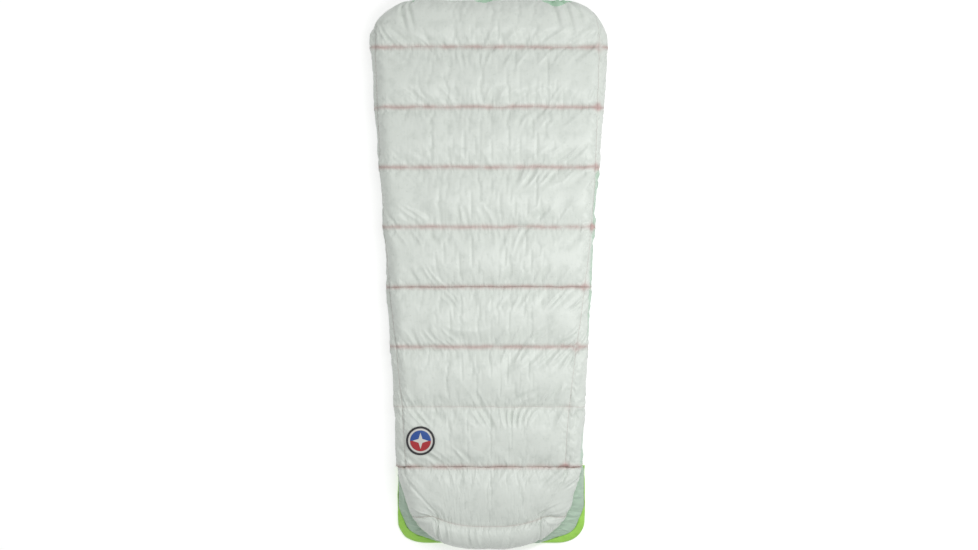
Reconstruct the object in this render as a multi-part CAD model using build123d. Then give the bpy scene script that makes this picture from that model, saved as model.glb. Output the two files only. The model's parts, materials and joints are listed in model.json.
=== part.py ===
"""Camp quilt: a down quilt laid out empty on its back opening, lofted, with a closed foot end.

Axes: +X across the quilt, +Y towards the head, +Z up from the ground. The origin is under the
middle of the quilt, on the ground. Units are millimetres.

The quilt is a C-shaped down layer, quilted crosswise into ten chambers. Nine baffle walls part the
chambers. Its two flaps are turned under and leave the back open. Three bodies fold on two of the
crosswise seams: the head end (chambers 1 and 2), the middle (3 to 7) and the foot end (8 to 10).
"""

import math
import os

from build123d import *

# ---- driving dimensions -------------------------------------------------------------------------
LENGTH = 1900.0  # head end to foot end, laid out
SHOULDER_HALF = 421.0  # half the width at the first seam
FOOT_HALF = 328.0  # half the width at the last seam
LOFT_HEIGHT = 124.0  # ground to the crest of the top layer
LAYER_CREST = 32.0  # thickness of one down layer at the middle of a chamber
LAYER_SEAM = 8.0  # and at a seam, which is the height of a baffle wall
VALLEY = 16.0  # how far a seam lies below the crest, on the shell side
SEAM_PITCH = 207.0  # from one crosswise seam to the next
SEAMS = 9  # crosswise seams
COLLAR_DEPTH = 163.0  # head end to the first seam

FABRIC = 0.6  # stand-in thickness of shell and lining
EASE = 0.3  # clear gap between a fabric and the down inside it
WALL = 1.0  # stand-in thickness of a baffle wall
WALL_GAP = 0.5  # clear gap each side of a baffle wall

HEAD_Y = LENGTH / 2
FOOT_Y = -LENGTH / 2
AXIS_Z = LOFT_HEIGHT / 2  # height of the line that the side chambers turn about
R_OUT = AXIS_Z  # shell at a crest, measured from that line
R_OUT_SEAM = R_OUT - VALLEY
R_IN = R_OUT - LAYER_CREST  # lining at a crest
R_IN_SEAM = R_OUT_SEAM - LAYER_SEAM
SKIN = FABRIC + EASE
SEAM_GAP = WALL / 2 + WALL_GAP

SEAM_Y = [HEAD_Y - COLLAR_DEPTH - SEAM_PITCH * k for k in range(SEAMS)]
HEAD_SEAM, FOOT_SEAM = 2, 7  # the two seams that fold, counted from the head
TAPER = math.atan((SHOULDER_HALF - FOOT_HALF) / (SEAM_Y[0] - SEAM_Y[-1]))

# back opening, between the two flaps
OPEN_HALF = 120.0  # half the gap between the flaps
NECK_OPEN_HALF = 45.0  # and at the neck
HEM_WIDTH = 16.0
HEM_BOTTOM, HEM_TOP = 14.0, 17.0
FLAP_HEAD_Y = 905.0  # head end of the filled part of a flap
HEM_HEAD_Y = 930.0  # head end of its hem

# head end
CORNER_RADIUS = 125.0
LIP_Y, LIP_Z = 930.0, 70.0  # where the collar's lip ends inside the neck
CHANNEL_Y = 936.0  # drawcord channel, one flat C round the neck
CHANNEL_HALF = 320.0  # half its straight run
CHANNEL_TOP_Z, CHANNEL_LOW_Z = 59.5, 17.0
CHANNEL_RADIUS, CHANNEL_BORE, CORD_RADIUS = 5.0, 2.2, 1.6

# foot end: the quilted lid is a rounded superellipse, and the floor under it has squarer corners
FOOT_CENTRE_Y = -653.0
LID_HALF, LID_REACH, LID_POWER = 326.0, 297.0, 3.4
FLOOR_HALF, FLOOR_REACH, FLOOR_POWER = 333.0, 272.0, 8.0
FLOOR_THICK = 1.5
GUSSET_THICK = 1.0
RIM_Z = 40.0  # where the gusset meets the lid's wall
FOOT_WALL = 18.0  # thickness of the down that stands in the lid's wall
LID_HEAD_Y = SEAM_Y[7] - 4.5  # head end of the lid, clear of the tilted sides of chamber 8

# straps across the back opening, each closed by one snap under the right hem
STRAP_WIDTH = 20.0
NECK_TAB_Y = 914.0
WEB_LOW, WEB_TOP = 9.2, 10.8
SNAP_INSET = HEM_WIDTH / 2  # from the hem's edge to the middle of a snap
SNAP_RADIUS, POST_RADIUS, SNAP_CLEAR = 5.5, 2.0, 0.4
CAP_DEPTH = 2.0

# cord lock, upright at the right end of the channel
LOCK_X = 30.0
LOCK_RADIUS, LOCK_LOW, LOCK_TOP, LOCK_FLOOR = 7.5, 6.0, 24.0, 1.5
PLUNGER_RADIUS, PLUNGER_LOW, PLUNGER_TOP = 5.2, 13.5, 29.5
PLUNGER_TRAVEL = 2.5
SPRING_RADIUS, SPRING_WIRE, SPRING_TURNS = 3.8, 0.8, 4

# patch on chamber 8, near its left end
PATCH_RADIUS, BORDER_WIDTH = 51.0, 4.5
PATCH_THICK, BORDER_THICK = 1.0, 1.6
PATCH_X, PATCH_Y = -236.0, -571.0
PATCH_CHAMBER = 8


# ---- helpers ------------------------------------------------------------------------------------
def half_width(y):
    """Half the quilt's width, which tapers evenly to the foot."""
    return SHOULDER_HALF - (SEAM_Y[0] - y) * math.tan(TAPER)


def flat_half(y):
    """Half the width of the flat top, up to the line that a side chamber turns about."""
    return half_width(y) - R_OUT


def hem_half(y):
    """Half the back opening: even in the middle of the quilt, closing in towards the neck."""
    y_fold = SEAM_Y[HEAD_SEAM - 1]
    share = min(1.0, max(0.0, (y - y_fold) / (HEM_HEAD_Y - y_fold)))
    return OPEN_HALF + (NECK_OPEN_HALF - OPEN_HALF) * share


def block(x, y, z):
    """A box between two limits on each axis."""
    size = (x[1] - x[0], y[1] - y[0], z[1] - z[0])
    middle = ((x[0] + x[1]) / 2, (y[0] + y[1]) / 2, (z[0] + z[1]) / 2)
    return Pos(*middle) * Box(*size)


def disc(x, y, z_low, z_high, radius):
    """An upright cylinder between two heights."""
    return Pos(x, y, (z_low + z_high) / 2) * Cylinder(radius, z_high - z_low)


def prism(points, z_low=-10.0, z_high=LOFT_HEIGHT + 10.0):
    """An upright prism over a polygon."""
    return Pos(0, 0, z_low) * extrude(make_face(Polyline(*points, close=True)), z_high - z_low)


def mirrored(shape):
    """The same shape on the other side of the quilt."""
    return mirror(shape, Plane.YZ)


def both(shape):
    """A shape and its mirror image."""
    return [shape, mirrored(shape)]


def across(profile, half):
    """Extrudes a profile in the YZ plane to half each side of the middle."""
    return extrude(profile, half, both=True)


def closed(*edges):
    """One face inside a loop of edges, given in order."""
    return make_face(Curve() + list(edges))


def between_axes(y_low, y_high, margin=0.0):
    """The upright prism over the flat top, between the two tilted side lines."""
    low, high = flat_half(y_low) - margin, flat_half(y_high) - margin
    return prism([(-low, y_low), (low, y_low), (high, y_high), (-high, y_high)])


def turned(profile, start, arc):
    """Turns a (y, radius) profile about the right side line, from straight up, in degrees."""
    line = Pos(flat_half(0), 0, AXIS_Z) * Rot(0, 0, -math.degrees(TAPER))
    axis = Axis((flat_half(0), 0, AXIS_Z), (math.sin(TAPER), math.cos(TAPER), 0))
    stood = (line * profile).rotate(axis, start)
    return revolve(stood, axis, arc)


def flat_layer(profile, y_high, below=False):
    """A (y, radius) profile laid flat, above the side lines or below them."""
    slab = Pos(0, 0, AXIS_Z) * across(profile, half_width(y_high))
    return mirror(slab, Plane.XY.offset(AXIS_Z)) if below else slab


def flap_area(y_low, y_high, inner=HEM_WIDTH):
    """The upright prism over the right flap, from its hem to the side line."""
    points = [
        (hem_half(y_low) + inner, y_low),
        (flat_half(y_low), y_low),
        (flat_half(y_high), y_high),
        (hem_half(y_high) + inner, y_high),
    ]
    return prism(points)


def round_head(inset=0.0):
    """The upright prism inside the quilt's outline, with its two round head corners."""
    low, high = half_width(0) + 30, half_width(HEAD_Y) - inset
    corners = [(-low, 0), (low, 0), (high, HEAD_Y - inset), (-high, HEAD_Y - inset)]
    flat = make_face(Polyline(*corners, close=True))
    head = flat.vertices().group_by(Axis.Y)[-1]
    return Pos(0, 0, -10) * extrude(fillet(head, CORNER_RADIUS - inset), LOFT_HEIGHT + 20)


def superellipse(half, reach, power, points=13):
    """The foot's outline: a half superellipse about FOOT_CENTRE_Y, closed by a straight edge."""
    outline = []
    for i in range(points):
        t = math.pi * i / (points - 1)
        across_share = math.copysign(abs(math.cos(t)) ** (2 / power), math.cos(t))
        along_share = math.sin(t) ** (2 / power) if 0 < i < points - 1 else 0.0
        outline.append((half * across_share, FOOT_CENTRE_Y - reach * along_share))
    return closed(Spline(*outline), Line(outline[-1], outline[0]))


def lid_prism(inset):
    """The upright prism inside the rounded lid of the foot, above the gusset."""
    outline = superellipse(LID_HALF - inset, LID_REACH - inset, LID_POWER)
    return Pos(0, 0, RIM_Z) * extrude(outline, LOFT_HEIGHT)


# ---- profiles -----------------------------------------------------------------------------------
def lens(y_low, y_high, crest_in, crest_out, seam_in, seam_out):
    """A chamber's (y, radius) profile: two shallow arcs between two seams."""
    middle = (y_low + y_high) / 2
    face = closed(
        ThreePointArc((y_low, seam_in), (middle, crest_in), (y_high, seam_in)),
        Line((y_high, seam_in), (y_high, seam_out)),
        ThreePointArc((y_high, seam_out), (middle, crest_out), (y_low, seam_out)),
        Line((y_low, seam_out), (y_low, seam_in)),
    )
    return Plane.YZ * face


def skin(stations, crest, seam):
    """A fabric's (y, radius) profile, FABRIC deep: one arc from each station to the next."""
    edges = []
    for level in (0.0, FABRIC):
        for a, b in zip(stations, stations[1:]):
            edges.append(ThreePointArc((a, seam + level), ((a + b) / 2, crest + level), (b, seam + level)))
    for y in (stations[0], stations[-1]):
        edges.append(Line((y, seam), (y, seam + FABRIC)))
    return Plane.YZ * closed(*edges)


def shell_skin(stations):
    """The shell's profile over some chambers."""
    return skin(stations, R_OUT - FABRIC, R_OUT_SEAM - FABRIC)


def lining_skin(stations):
    """The lining's profile over some chambers."""
    return skin(stations, R_IN, R_IN_SEAM)


def down_layer(y_low, y_high):
    """The (y, radius) profile of the down between shell and lining."""
    return lens(y_low, y_high, R_IN + SKIN, R_OUT - SKIN, R_IN_SEAM + SKIN, R_OUT_SEAM - SKIN)


def collar_lines(inset, y_seam):
    """The collar's outer and inner lines: over the neck, down round the head end, back to the seam."""
    high, low = AXIS_Z + R_OUT_SEAM - inset, AXIS_Z + R_IN_SEAM + inset
    bend = (LIP_Y - 5, LOFT_HEIGHT - 16 - inset)
    lip = (LIP_Y - inset, LIP_Z + inset)
    outer = [
        ThreePointArc((y_seam, high), (862, LOFT_HEIGHT - inset), bend),
        ThreePointArc(bend, (HEAD_Y - inset, 92), lip),
    ]
    inner = [ThreePointArc(lip, (862, 82 + inset), (y_seam, low))]
    return outer, inner


def joined(lines):
    """A closed face from a chain of lines whose ends are joined by straight edges."""
    edges = list(lines)
    for a, b in zip(lines, [*lines[1:], lines[0]]):
        start, end = a @ 1, b @ 0
        if (start - end).length > 1e-6:
            edges.append(Line(start, end))
    return Plane.YZ * closed(*edges)


def band(lines, inner_lines):
    """A face between a chain of lines and the same chain moved inwards."""
    edges = [*lines, *inner_lines]
    edges.append(Line(lines[0] @ 0, inner_lines[0] @ 0))
    edges.append(Line(lines[-1] @ 1, inner_lines[-1] @ 1))
    return Plane.YZ * closed(*edges)


def lid_cap(inset, crest, seam):
    """What lies under one surface of chambers 9 and 10, inside the lid's outline."""
    y_high, y_low = LID_HEAD_Y, SEAM_Y[8]
    reach, depth = FOOT_Y + inset + 2, RIM_Z - 5
    crest_z, seam_z = AXIS_Z + crest, AXIS_Z + seam
    face = closed(
        Line((y_high, depth), (y_high, seam_z)),
        ThreePointArc((y_high, seam_z), ((y_high + y_low) / 2, crest_z), (y_low, seam_z)),
        ThreePointArc((y_low, seam_z), (y_low - 50, seam_z - 10), (reach, RIM_Z)),
        Line((reach, RIM_Z), (reach, depth)),
        Line((reach, depth), (y_high, depth)),
    )
    return across(Plane.YZ * face, LID_HALF) & lid_prism(inset)


# ---- down ---------------------------------------------------------------------------------------
def side_quarters(y_low, y_high):
    """The two quarter rings of down on each side of a chamber."""
    stretch = 1 / math.cos(TAPER)
    profile = down_layer(y_low * stretch, y_high * stretch)
    return [piece for start in (0, 90) for piece in both(turned(profile, start + 0.05, 89.9))]


def body_chamber(k):
    """The down of one of the chambers 2 to 8: top, two sides and two flaps."""
    y_high, y_low = SEAM_Y[k - 2] - SEAM_GAP, SEAM_Y[k - 1] + SEAM_GAP
    profile = down_layer(y_low, y_high)
    if k > FOOT_SEAM:  # the closed tube at the foot end: its two flaps meet in a middle seam
        low, high = flat_half(y_low), flat_half(y_high)
        area = prism([(0.5, y_low), (low, y_low), (high, y_high), (0.5, y_high)])
    else:
        area = flap_area(y_low, y_high)
    top = flat_layer(profile, y_high) & between_axes(y_low, y_high)
    flap = flat_layer(profile, y_high, below=True) & area
    return [top, *both(flap), *side_quarters(y_low, y_high)]


def collar_chamber():
    """The down of chamber 1: the collar over the neck, its corners and the heads of the flaps."""
    y_seam = SEAM_Y[0] + SEAM_GAP
    outline = round_head(SKIN)
    outer, inner = collar_lines(SKIN, y_seam)
    collar = across(joined([*outer, *inner]), half_width(HEAD_Y))
    top = collar & between_axes(y_seam, HEAD_Y) & outline
    low = flat_layer(down_layer(y_seam, FLAP_HEAD_Y), HEAD_Y, below=True)
    flap = low & flap_area(y_seam, FLAP_HEAD_Y) & outline
    corners = [quarter & outline for quarter in side_quarters(y_seam, FLAP_HEAD_Y)]
    return [top, *both(flap), *corners]


def lid_chamber():
    """The down of chamber 9, the quilted lid over the foot."""
    y_high, y_low = LID_HEAD_Y - WALL_GAP, SEAM_Y[8] + SEAM_GAP
    return [flat_layer(down_layer(y_low, y_high), y_high) & lid_prism(SKIN)]


def toe_chamber():
    """The down of chamber 10, the toe."""
    outer = lid_cap(SKIN, R_OUT - SKIN, R_OUT_SEAM - SKIN)
    inner = lid_cap(SKIN + FOOT_WALL, R_IN + SKIN, R_IN_SEAM + SKIN)
    return [(outer - inner) & block((-LID_HALF, LID_HALF), (FOOT_Y, SEAM_Y[8] - SEAM_GAP), (0, LOFT_HEIGHT))]


def foot_wall_down():
    """The down that stands in the lid's two side walls."""
    ring = lid_prism(SKIN) - lid_prism(SKIN + FOOT_WALL)
    y, z = (SEAM_Y[8] + 2, LID_HEAD_Y - 1), (0, AXIS_Z + R_IN - 2)
    return both(ring & block((150, 400), y, z))


def down_fills():
    """Every chamber's down, by node name."""
    fills = {"down_fill_01": collar_chamber()}
    for k in range(2, 9):
        fills[f"down_fill_{k:02d}"] = body_chamber(k)
    fills["down_fill_09"] = lid_chamber()
    fills["down_fill_10"] = toe_chamber()
    fills["foot_wall_down"] = foot_wall_down()
    return fills


# ---- baffle walls -------------------------------------------------------------------------------
def wall_profile(y, stretch=1.0):
    """A wall's (y, radius) section between lining and shell, at a seam."""
    low, high = R_IN_SEAM + SKIN, R_OUT_SEAM - SKIN
    middle = y * stretch
    return Plane.YZ * (Pos(middle, (low + high) / 2) * Rectangle(WALL, high - low))


def baffle_wall(k):
    """The wall at seam k, which follows the C of the layer."""
    y = SEAM_Y[k - 1]
    y_low, y_high = y - WALL, y + WALL
    slab = flat_layer(wall_profile(y), y_high)
    if k == SEAMS:
        return [slab & lid_prism(SKIN)]
    low = flat_layer(wall_profile(y), y_high, below=True)
    if k > FOOT_SEAM:
        flaps = [low & between_axes(y_low, y_high)]
    else:
        flaps = both(low & flap_area(y_low, y_high))
    sides = both(turned(wall_profile(y, 1 / math.cos(TAPER)), 0.05, 179.9))
    return [slab & between_axes(y_low, y_high), *flaps, *sides]


# ---- shell and lining ---------------------------------------------------------------------------
def stations(first, last, lift_high=0.0, lift_low=0.0):
    """The seams from number first to last, towards the head last, with room at a folding seam."""
    ys = [SEAM_Y[k - 1] for k in range(last, first - 1, -1)]
    ys[0] += lift_low
    ys[-1] += lift_high
    return ys


MIDDLE = stations(HEAD_SEAM, FOOT_SEAM, WALL / 2, -WALL / 2)
HEAD = [SEAM_Y[HEAD_SEAM - 1] + SEAM_GAP, SEAM_Y[0]]
TUBE = [SEAM_Y[FOOT_SEAM], SEAM_Y[FOOT_SEAM - 1] - SEAM_GAP]


def strip(ys, profile_of, part):
    """One panel of shell or lining over some chambers: its top, one side or one flap."""
    low, high = ys[0], ys[-1]
    if part == "top":
        return flat_layer(profile_of(ys), high) & between_axes(low, high, 0.2)
    if part == "side":
        return turned(profile_of([y / math.cos(TAPER) for y in ys]), 0.05, 179.9)
    return flat_layer(profile_of(ys), high, below=True) & flap_area(low, high)


def head_panel(profile_of, part):
    """A side or a flap of the head end, with its round corner."""
    return strip([*HEAD, FLAP_HEAD_Y], profile_of, part) & round_head()


def collar_skin(of_lining):
    """The collar's fabric: the shell over it, or the lining under it."""
    outer = collar_lines(0.0, SEAM_Y[0])[of_lining]
    moved = collar_lines(FABRIC, SEAM_Y[0])[of_lining]
    face = band(outer, moved)
    return across(face, half_width(HEAD_Y)) & between_axes(SEAM_Y[0], HEAD_Y, 0.2) & round_head()


def tube_floor(profile_of):
    """The underside of chamber 8, where the two flaps are sewn together."""
    low, high = TUBE
    return flat_layer(profile_of(TUBE), high, below=True) & between_axes(low, high, 0.2)


def lid_skin(inset, crest, seam):
    """One fabric of the lid, open below."""
    return lid_cap(inset, crest, seam) - lid_cap(inset + FABRIC, crest - FABRIC, seam - FABRIC)


def fabric_panels():
    """Shell and lining, by node name."""
    panels = {
        "body_top_panel": [strip(MIDDLE, shell_skin, "top")],
        "head_top_panel": [strip(HEAD, shell_skin, "top"), collar_skin(False)],
        "foot_top_panel": [strip(TUBE, shell_skin, "top")],
        "foot_lid_shell": [lid_skin(0.0, R_OUT, R_OUT_SEAM)],
    }
    sides = {
        "body_side_panel": strip(MIDDLE, shell_skin, "side"),
        "head_side_panel": head_panel(shell_skin, "side"),
        "foot_side_panel": strip(TUBE, shell_skin, "side"),
        "body_flap_panel": strip(MIDDLE, shell_skin, "flap"),
        "head_flap_panel": head_panel(shell_skin, "flap"),
    }
    for name, right in sides.items():
        panels[f"{name}_right"] = [right]
        panels[f"{name}_left"] = [mirrored(right)]
    panels["foot_under_panel"] = [tube_floor(shell_skin)]
    panels["body_lining"] = [
        strip(MIDDLE, lining_skin, "top"),
        *both(strip(MIDDLE, lining_skin, "side")),
        *both(strip(MIDDLE, lining_skin, "flap")),
    ]
    panels["head_lining"] = [
        strip(HEAD, lining_skin, "top"),
        collar_skin(True),
        *both(head_panel(lining_skin, "side")),
        *both(head_panel(lining_skin, "flap")),
    ]
    panels["foot_lining"] = [
        strip(TUBE, lining_skin, "top"),
        *both(strip(TUBE, lining_skin, "side")),
        tube_floor(lining_skin),
        lid_skin(SKIN + FOOT_WALL + EASE, R_IN + FABRIC, R_IN_SEAM + FABRIC),
    ]
    return panels


# ---- hems, foot floor and gusset ----------------------------------------------------------------
def hem(y_low, y_high):
    """The bound edge of the right flap between two stations."""
    low, high = hem_half(y_low), hem_half(y_high)
    width = HEM_WIDTH - EASE
    points = [(low, y_low), (low + width, y_low), (high + width, y_high), (high, y_high)]
    return prism(points, HEM_BOTTOM, HEM_TOP)


def foot_floor():
    """The flat floor under the foot."""
    return extrude(superellipse(FLOOR_HALF, FLOOR_REACH, FLOOR_POWER), FLOOR_THICK)


def gusset():
    """The wall between the floor's squarer outline and the lid's round one, open to the quilt."""
    solids = []
    for inset, spare in ((0.0, 0.0), (GUSSET_THICK, 1.0)):
        low = superellipse(FLOOR_HALF - inset, FLOOR_REACH - inset, FLOOR_POWER)
        high = superellipse(LID_HALF - inset, LID_REACH - inset, LID_POWER)
        low_z, high_z = FLOOR_THICK + EASE - spare, RIM_Z - EASE + spare
        solids.append(loft([Pos(0, 0, low_z) * low, Pos(0, 0, high_z) * high]))
    front = block((-400, 400), (LID_HEAD_Y, FOOT_CENTRE_Y + 20), (-10, 60))
    return solids[0] - solids[1] - front


# ---- neck drawcord and cord lock ----------------------------------------------------------------
def channel_path(end_left, end_right):
    """The C round the neck: low run, bend, top run, bend, low run, all in one upright plane."""
    bend = (CHANNEL_TOP_Z - CHANNEL_LOW_Z) / 2
    middle = (CHANNEL_TOP_Z + CHANNEL_LOW_Z) / 2
    low, top, x = CHANNEL_LOW_Z, CHANNEL_TOP_Z, CHANNEL_HALF
    path = Curve() + [
        Line((end_left, low), (-x, low)),
        ThreePointArc((-x, low), (-x - bend, middle), (-x, top)),
        Line((-x, top), (x, top)),
        ThreePointArc((x, top), (x + bend, middle), (x, low)),
        Line((x, low), (end_right, low)),
    ]
    return Plane.XZ.offset(-CHANNEL_Y) * path


def along(path, radius, bore=0.0):
    """A round tube or rod along a path."""
    start = Plane(origin=path @ 0, z_dir=path % 0)
    section = start * Circle(radius)
    if bore:
        section -= start * Circle(bore)
    return sweep(section, path)


def cord_lock():
    """The lock's barrel: a cup with a hole right through for the cord."""
    barrel = disc(LOCK_X, CHANNEL_Y, LOCK_LOW, LOCK_TOP, LOCK_RADIUS)
    barrel -= disc(LOCK_X, CHANNEL_Y, LOCK_LOW + LOCK_FLOOR, LOCK_TOP + 1, PLUNGER_RADIUS + SNAP_CLEAR)
    cord_hole = Pos(LOCK_X, CHANNEL_Y, CHANNEL_LOW_Z) * Rot(0, 90, 0) * Cylinder(CHANNEL_BORE, 30)
    return barrel - cord_hole


def plunger():
    """The lock's plunger, with a slot that the cord runs through over the whole travel."""
    body = disc(LOCK_X, CHANNEL_Y, PLUNGER_LOW, PLUNGER_TOP, PLUNGER_RADIUS)
    head = disc(LOCK_X, CHANNEL_Y, PLUNGER_TOP - 1.5, PLUNGER_TOP, PLUNGER_RADIUS + 1)
    y = (CHANNEL_Y - CHANNEL_BORE, CHANNEL_Y + CHANNEL_BORE)
    z = (CHANNEL_LOW_Z - CHANNEL_BORE, CHANNEL_LOW_Z + CHANNEL_BORE + PLUNGER_TRAVEL)
    return body + head - block((LOCK_X - 10, LOCK_X + 10), y, z)


def lock_spring():
    """The coil spring under the plunger."""
    height = PLUNGER_LOW - LOCK_LOW - LOCK_FLOOR - SPRING_WIRE - 0.2
    path = Helix(height / SPRING_TURNS, height, SPRING_RADIUS)
    coil = sweep(Plane(origin=path @ 0, z_dir=path % 0) * Circle(SPRING_WIRE / 2), path)
    return Pos(LOCK_X, CHANNEL_Y, LOCK_LOW + LOCK_FLOOR + SPRING_WIRE / 2 + 0.1) * coil


# ---- straps and snaps ---------------------------------------------------------------------------
def snap_x(y):
    """Where a snap's middle lies across the quilt, at a station."""
    return hem_half(y) + SNAP_INSET


def strap(y):
    """Webbing from the left hem to the snap on the right hem, with the snap's hole."""
    reach = snap_x(y) + 6
    web = block((-reach, reach), (y - STRAP_WIDTH / 2, y + STRAP_WIDTH / 2), (WEB_LOW, WEB_TOP))
    ends = web.edges().filter_by(Axis.Z).group_by(Axis.X)[-1]
    hole = disc(snap_x(y), y, WEB_LOW - 1, WEB_TOP + 1, POST_RADIUS + SNAP_CLEAR)
    return fillet(ends, 6) - hole


def snap_socket(y):
    """The strap's half of a snap: a domed cap under the webbing and a socket ring above it."""
    x = snap_x(y)
    cap = disc(x, y, WEB_LOW - CAP_DEPTH, WEB_LOW, SNAP_RADIUS + 0.5)
    cap = fillet(cap.edges().group_by(Axis.Z)[0], 1.2)
    post = disc(x, y, WEB_LOW - 0.5, WEB_TOP + 0.2, POST_RADIUS)
    ring = disc(x, y, WEB_TOP, WEB_TOP + 1.4, SNAP_RADIUS - 0.5)
    ring -= disc(x, y, WEB_TOP + 0.2, WEB_TOP + 2, POST_RADIUS + SNAP_CLEAR)
    return cap + post + ring


def snap_stud(y):
    """The hem's half of a snap: a stud that reaches into the socket."""
    x, base = snap_x(y), HEM_BOTTOM - 1.2
    stud = disc(x, y, WEB_TOP + 0.6, base + 0.2, POST_RADIUS)
    return stud + disc(x, y, base, HEM_BOTTOM, SNAP_RADIUS)


# ---- patch --------------------------------------------------------------------------------------
def patch_slab(thick, radius, bore=0.0):
    """A disc or ring of the patch, curved with the chamber's top."""
    y_high, y_low = SEAM_Y[PATCH_CHAMBER - 2], SEAM_Y[PATCH_CHAMBER - 1]
    base = lens(y_low, y_high, R_OUT + 0.1, R_OUT + 0.1 + thick, R_OUT_SEAM + 0.1, R_OUT_SEAM + 0.1 + thick)
    area = disc(PATCH_X, PATCH_Y, 80, 130, radius)
    if bore:
        area -= disc(PATCH_X, PATCH_Y, 79, 131, bore)
    return flat_layer(base, y_high) & area


# ---- the whole quilt ----------------------------------------------------------------------------
def quilt():
    """Every sub-part by node name, each a list of solids."""
    parts = down_fills()
    for k in range(1, SEAMS + 1):
        parts[f"baffle_wall_{k:02d}"] = baffle_wall(k)
    parts.update(fabric_panels())

    for name, y_low, y_high in (
        ("body_hem", MIDDLE[0], MIDDLE[-1]),
        ("head_hem", HEAD[0], HEM_HEAD_Y),
    ):
        parts[f"{name}_right"] = [hem(y_low, y_high)]
        parts[f"{name}_left"] = [mirrored(hem(y_low, y_high))]
    parts["footbox_floor"] = [foot_floor()]
    parts["footbox_gusset"] = [gusset()]

    channel = channel_path(-NECK_OPEN_HALF, LOCK_X + LOCK_RADIUS + 0.5)
    parts["neck_channel"] = [along(channel, CHANNEL_RADIUS, CHANNEL_BORE)]
    parts["neck_drawcord"] = [along(channel_path(-NECK_OPEN_HALF - 3, LOCK_X - 3), CORD_RADIUS)]
    parts["cord_lock_barrel"] = [cord_lock()]
    parts["cord_lock_plunger"] = [plunger()]
    parts["cord_lock_spring"] = [lock_spring()]

    straps = {"neck_tab": NECK_TAB_Y, "upper_strap": SEAM_Y[3], "lower_strap": SEAM_Y[5]}
    for name, y in straps.items():
        parts[name] = [strap(y)]
        parts[f"{name}_snap"] = [snap_socket(y)]
    parts["neck_stud"] = [snap_stud(NECK_TAB_Y)]
    parts["strap_studs"] = [snap_stud(SEAM_Y[3]), snap_stud(SEAM_Y[5])]

    parts["patch"] = [patch_slab(PATCH_THICK, PATCH_RADIUS - BORDER_WIDTH - 0.1)]
    parts["patch_border"] = [patch_slab(BORDER_THICK, PATCH_RADIUS, PATCH_RADIUS - BORDER_WIDTH)]
    return parts


if __name__ == "__main__":
    os.makedirs("parts", exist_ok=True)
    for name, shapes in quilt().items():
        solids = [solid for shape in shapes for solid in shape.solids()]
        whole = solids[0] if len(solids) == 1 else Compound(children=solids)
        export_step(whole, f"parts/{name}.step")
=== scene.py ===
"""Looks of a camp quilt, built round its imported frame: padded shell and lining, foot, patch and trim."""

import json
import logging
import math
from dataclasses import dataclass, field
from enum import Enum

import bmesh
import bpy
import numpy as np
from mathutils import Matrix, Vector
from mathutils.bvhtree import BVHTree

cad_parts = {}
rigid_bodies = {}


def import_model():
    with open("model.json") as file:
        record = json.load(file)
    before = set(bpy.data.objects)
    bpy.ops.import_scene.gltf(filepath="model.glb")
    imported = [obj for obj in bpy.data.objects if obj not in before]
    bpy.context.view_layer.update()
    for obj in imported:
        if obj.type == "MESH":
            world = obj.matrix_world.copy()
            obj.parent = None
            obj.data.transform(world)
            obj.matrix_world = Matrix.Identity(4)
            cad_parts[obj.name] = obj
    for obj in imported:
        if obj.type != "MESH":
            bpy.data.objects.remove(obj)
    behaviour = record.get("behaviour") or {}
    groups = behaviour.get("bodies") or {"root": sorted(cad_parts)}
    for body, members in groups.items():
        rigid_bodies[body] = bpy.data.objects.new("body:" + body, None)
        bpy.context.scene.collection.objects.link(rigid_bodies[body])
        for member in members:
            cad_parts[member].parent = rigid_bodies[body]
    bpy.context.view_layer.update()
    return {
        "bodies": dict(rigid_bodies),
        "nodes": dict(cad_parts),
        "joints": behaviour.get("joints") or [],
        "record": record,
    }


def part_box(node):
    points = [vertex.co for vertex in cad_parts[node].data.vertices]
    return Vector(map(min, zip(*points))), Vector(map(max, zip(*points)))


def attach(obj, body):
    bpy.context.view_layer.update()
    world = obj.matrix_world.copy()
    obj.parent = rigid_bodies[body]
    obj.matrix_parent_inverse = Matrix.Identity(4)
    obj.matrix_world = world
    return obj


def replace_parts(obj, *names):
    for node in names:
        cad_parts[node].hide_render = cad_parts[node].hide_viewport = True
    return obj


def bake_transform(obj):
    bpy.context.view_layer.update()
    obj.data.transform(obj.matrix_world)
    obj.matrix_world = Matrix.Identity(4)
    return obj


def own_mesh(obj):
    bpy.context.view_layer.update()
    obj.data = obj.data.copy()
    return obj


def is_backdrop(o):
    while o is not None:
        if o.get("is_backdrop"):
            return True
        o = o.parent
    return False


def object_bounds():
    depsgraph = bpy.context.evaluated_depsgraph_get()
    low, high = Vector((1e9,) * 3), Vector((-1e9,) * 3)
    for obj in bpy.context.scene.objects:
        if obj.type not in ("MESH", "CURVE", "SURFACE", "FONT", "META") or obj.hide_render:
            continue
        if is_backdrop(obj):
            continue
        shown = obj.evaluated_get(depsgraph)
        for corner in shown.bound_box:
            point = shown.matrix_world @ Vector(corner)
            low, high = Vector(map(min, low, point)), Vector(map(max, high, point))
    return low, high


LOG = logging.getLogger("camp_quilt")
MM = 0.001
STITCH_LIFT = 0.5 * MM
Points = np.ndarray


# ---- small helpers ------------------------------------------------------------------------------
def smoothstep(t: Points) -> Points:
    """Eases a share from 0 to 1."""
    t = np.clip(t, 0.0, 1.0)
    return t * t * (3 - 2 * t)


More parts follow.
